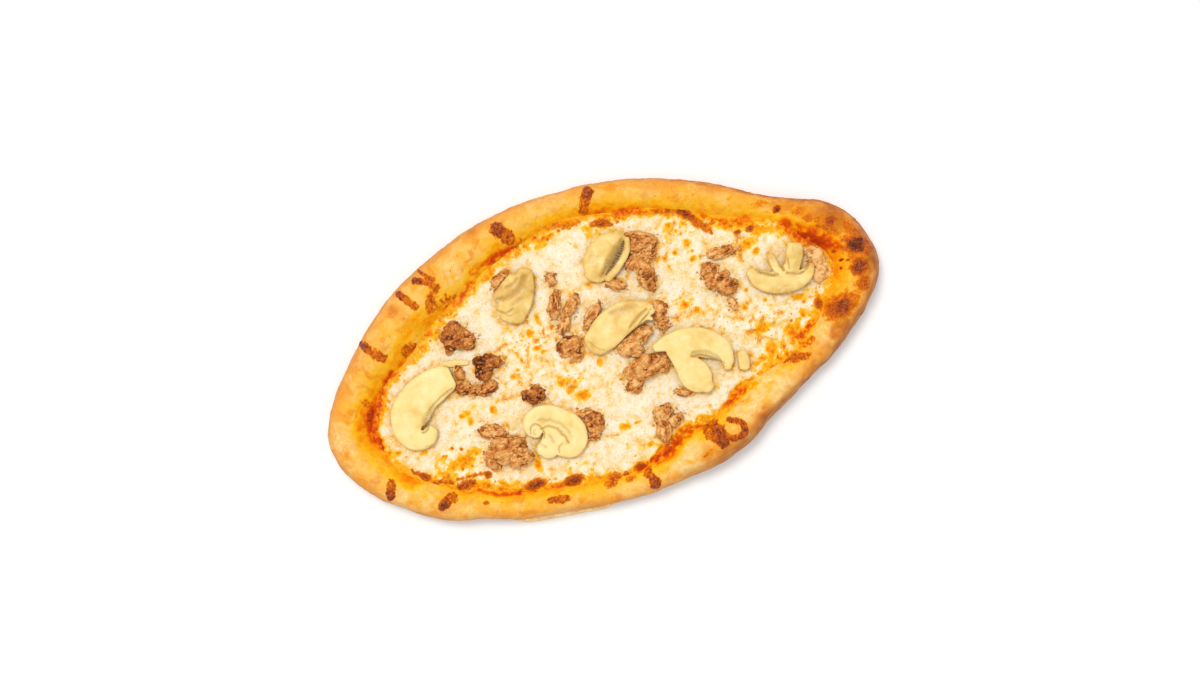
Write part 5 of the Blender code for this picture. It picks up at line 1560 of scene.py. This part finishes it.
def loose_bit(lobe, base, thicker, granular, sphere, draw):
    """A shred or a grain that lies on a lobe or hangs over its edge: points, faces and brightness."""
    _, _, long, wide, turn, height = lobe
    unit, faces = sphere
    angle, out = draw.uniform(0, 2 * math.pi), math.sqrt(draw.uniform(0, 1.1))
    length, thick = draw.uniform(0.9, 3.6), draw.uniform(0.25, 0.6) * (2.2 if thicker else 1)
    if granular:
        length, thick = 0.4 + 0.3 * length, draw.uniform(0.4, 0.8)
    lying = turn + draw.normal(0, 22)
    if out > 0.75:
        length = min(length, 1.8)
        edge = math.atan2(wide * math.cos(angle), -long * math.sin(angle))
        lying = turn + math.degrees(edge) + draw.normal(0, 18)
    rise = LOBE_LIFT * height + 0.82 * height * math.sqrt(max(0.0, 1 - out * out))
    bit = unit * [length, thick, min(0.5, thick * 0.7)]
    bit *= (1 + 0.45 * grain(unit * 1.5 + 9 * draw.uniform(), 0.8, 3))[:, None]
    bit[:, 2] += bit[:, 0] * draw.uniform(-0.3, 0.3) - 0.12 * bit[:, 0] ** 2 * out
    bright = 0.60 + draw.uniform(-0.25, 0.32) + 0.12 * grain(unit * 2, 1.0, 4)
    return turned(bit, lying) + spot_on(lobe, angle, out) + [0, 0, base + rise - 0.25], faces, bright


def press_under(points, levels):
    """Keeps tuna from standing up through the slices that lie on it."""
    for name, level in levels.items():
        for rows in MUSHROOMS[name]:
            under = stroke(points[:, :2], rows, 1.2)[0] < 1.04
            points[under, 2] = np.minimum(points[under, 2], level(points[under, 0]) - 0.6)


def make_flake(name, parts, dark, levels, material, *nodes):
    """A piece of tuna from its parts, pressed under the slices."""
    for shape, _, _ in parts:
        press_under(shape, levels)
    points, faces = joined(part[:2] for part in parts)
    ridge = np.concatenate([bright for _, _, bright in parts])
    piece = make_mesh(name, points, faces, {"ridge": ridge, "dark": np.full(len(ridge), dark)})
    settle(piece, "tuna", material, *nodes)


def make_tuna(levels):
    """The flakes, each of lobes with loose bits on them, and the scraps strewn round them."""
    tiny, small, large = ball(1), ball(2), ball(4)
    material = tuna_material()
    draw = np.random.default_rng(5)
    for number, (name, lobes) in enumerate(TUNA.items()):
        rows = [(x, y, min(long, wide)) for x, y, long, wide, _, _ in lobes]
        base = highest_under(rows) + REST - 0.2
        parts = []
        for n, lobe in enumerate(lobes):
            parts.append(torn_lobe(lobe, base, 10 * number, n, large))
            for k in range(int(8 + lobe[2] * lobe[3] * 0.9)):
                parts.append(loose_bit(lobe, base, k % 3 == 0, name in GRANULAR, small, draw))
        make_flake(name + "_flaked", parts, DARK.get(name, 0.0), levels, material, name)

    parts = []
    lobes = each_of(TUNA.values())
    unit, faces = tiny
    for _ in range(SCRAPS):
        lobe = lobes[draw.integers(len(lobes))]
        angle, out = draw.uniform(0, 2 * math.pi), 1 + abs(draw.normal(0, 0.34))
        spot = spot_on(lobe, angle, out)
        scrap = unit * [draw.uniform(0.4, 1.2), draw.uniform(0.3, 0.6), 0.35]
        scrap = turned(scrap, draw.uniform(0, 360)) + spot
        scrap[:, 2] += cheese_base(spot[None, :2])[0] + 0.35
        parts.append((scrap, faces, np.full(len(unit), draw.uniform(0.6, 1.05))))
    make_flake("tuna_scraps", parts, 0.1, levels, material)


# ---- Floor, light and camera ----
FLOOR_SIZE = 3000  # half the floor's width
FLOOR_LEVEL = -0.3  # just clear of the underside
SURROUND = 0.96  # strength of the white all round
KEY_PLACE = (-0.45, 0.55, 1.95)  # metres right, up and near, as the camera sees it
KEY_SIZE = 0.7  # metres across
KEY_POWER = 22  # watts
TURN = math.radians(20)  # the camera is turned this much clockwise
VIEW_PLACE = (0.6, 3.3, 901.0)  # where the camera stands
LENS = 50  # its focal length


def make_floor():
    """A pale floor just under the piece."""
    corners = [(x * FLOOR_SIZE, y * FLOOR_SIZE, FLOOR_LEVEL) for x, y in ((-1, -1), (1, -1), (1, 1), (-1, 1))]
    floor = make_mesh("floor", corners, [[0, 1, 2, 3]], {})
    look = Look("pale_floor")
    normal = look.bump(look.noise(3, 2), 0.02)
    floor.data.materials.append(look.finish((0.80, 0.80, 0.80, 1), 0.7, normal))


def make_light():
    """An even white surround, and a soft key light from the upper left of the picture."""
    world = bpy.data.worlds.new("studio")
    world.use_nodes = True
    surround = world.node_tree.nodes["Background"]
    surround.inputs["Color"].default_value = (1.0, 1.0, 1.0, 1)
    surround.inputs["Strength"].default_value = SURROUND
    bpy.context.scene.world = world

    light = bpy.data.lights.new("key", "AREA")
    light.shape = "DISK"
    light.size = KEY_SIZE
    light.energy = KEY_POWER
    placed = bpy.data.objects.new("key", light)
    right, up, near = KEY_PLACE
    c, s = math.cos(TURN), math.sin(TURN)
    placed.location = (right * c + up * s, up * c - right * s, near)
    placed.rotation_euler = (-placed.location).to_track_quat("-Z", "Y").to_euler()
    bpy.context.scene.collection.objects.link(placed)


def make_camera():
    """The camera, straight above the middle of the picture."""
    lens = bpy.data.cameras.new("camera")
    lens.lens = LENS
    camera = bpy.data.objects.new("camera", lens)
    camera.location = [part * MM for part in VIEW_PLACE]
    camera.rotation_euler = (0, 0, -TURN)
    bpy.context.scene.collection.objects.link(camera)
    bpy.context.scene.camera = camera
    bpy.context.scene.view_settings.view_transform = "Standard"


def main():
    make_crust()
    make_sauce()
    make_cheese()
    material = mushroom_material()
    levels = {name: slice_level(name) for name in MUSHROOMS}
    for name, level in levels.items():
        make_slice(name, level, material)
    make_shaving(material)
    make_tuna(levels)
    make_floor()
    make_light()
    make_camera()


main()
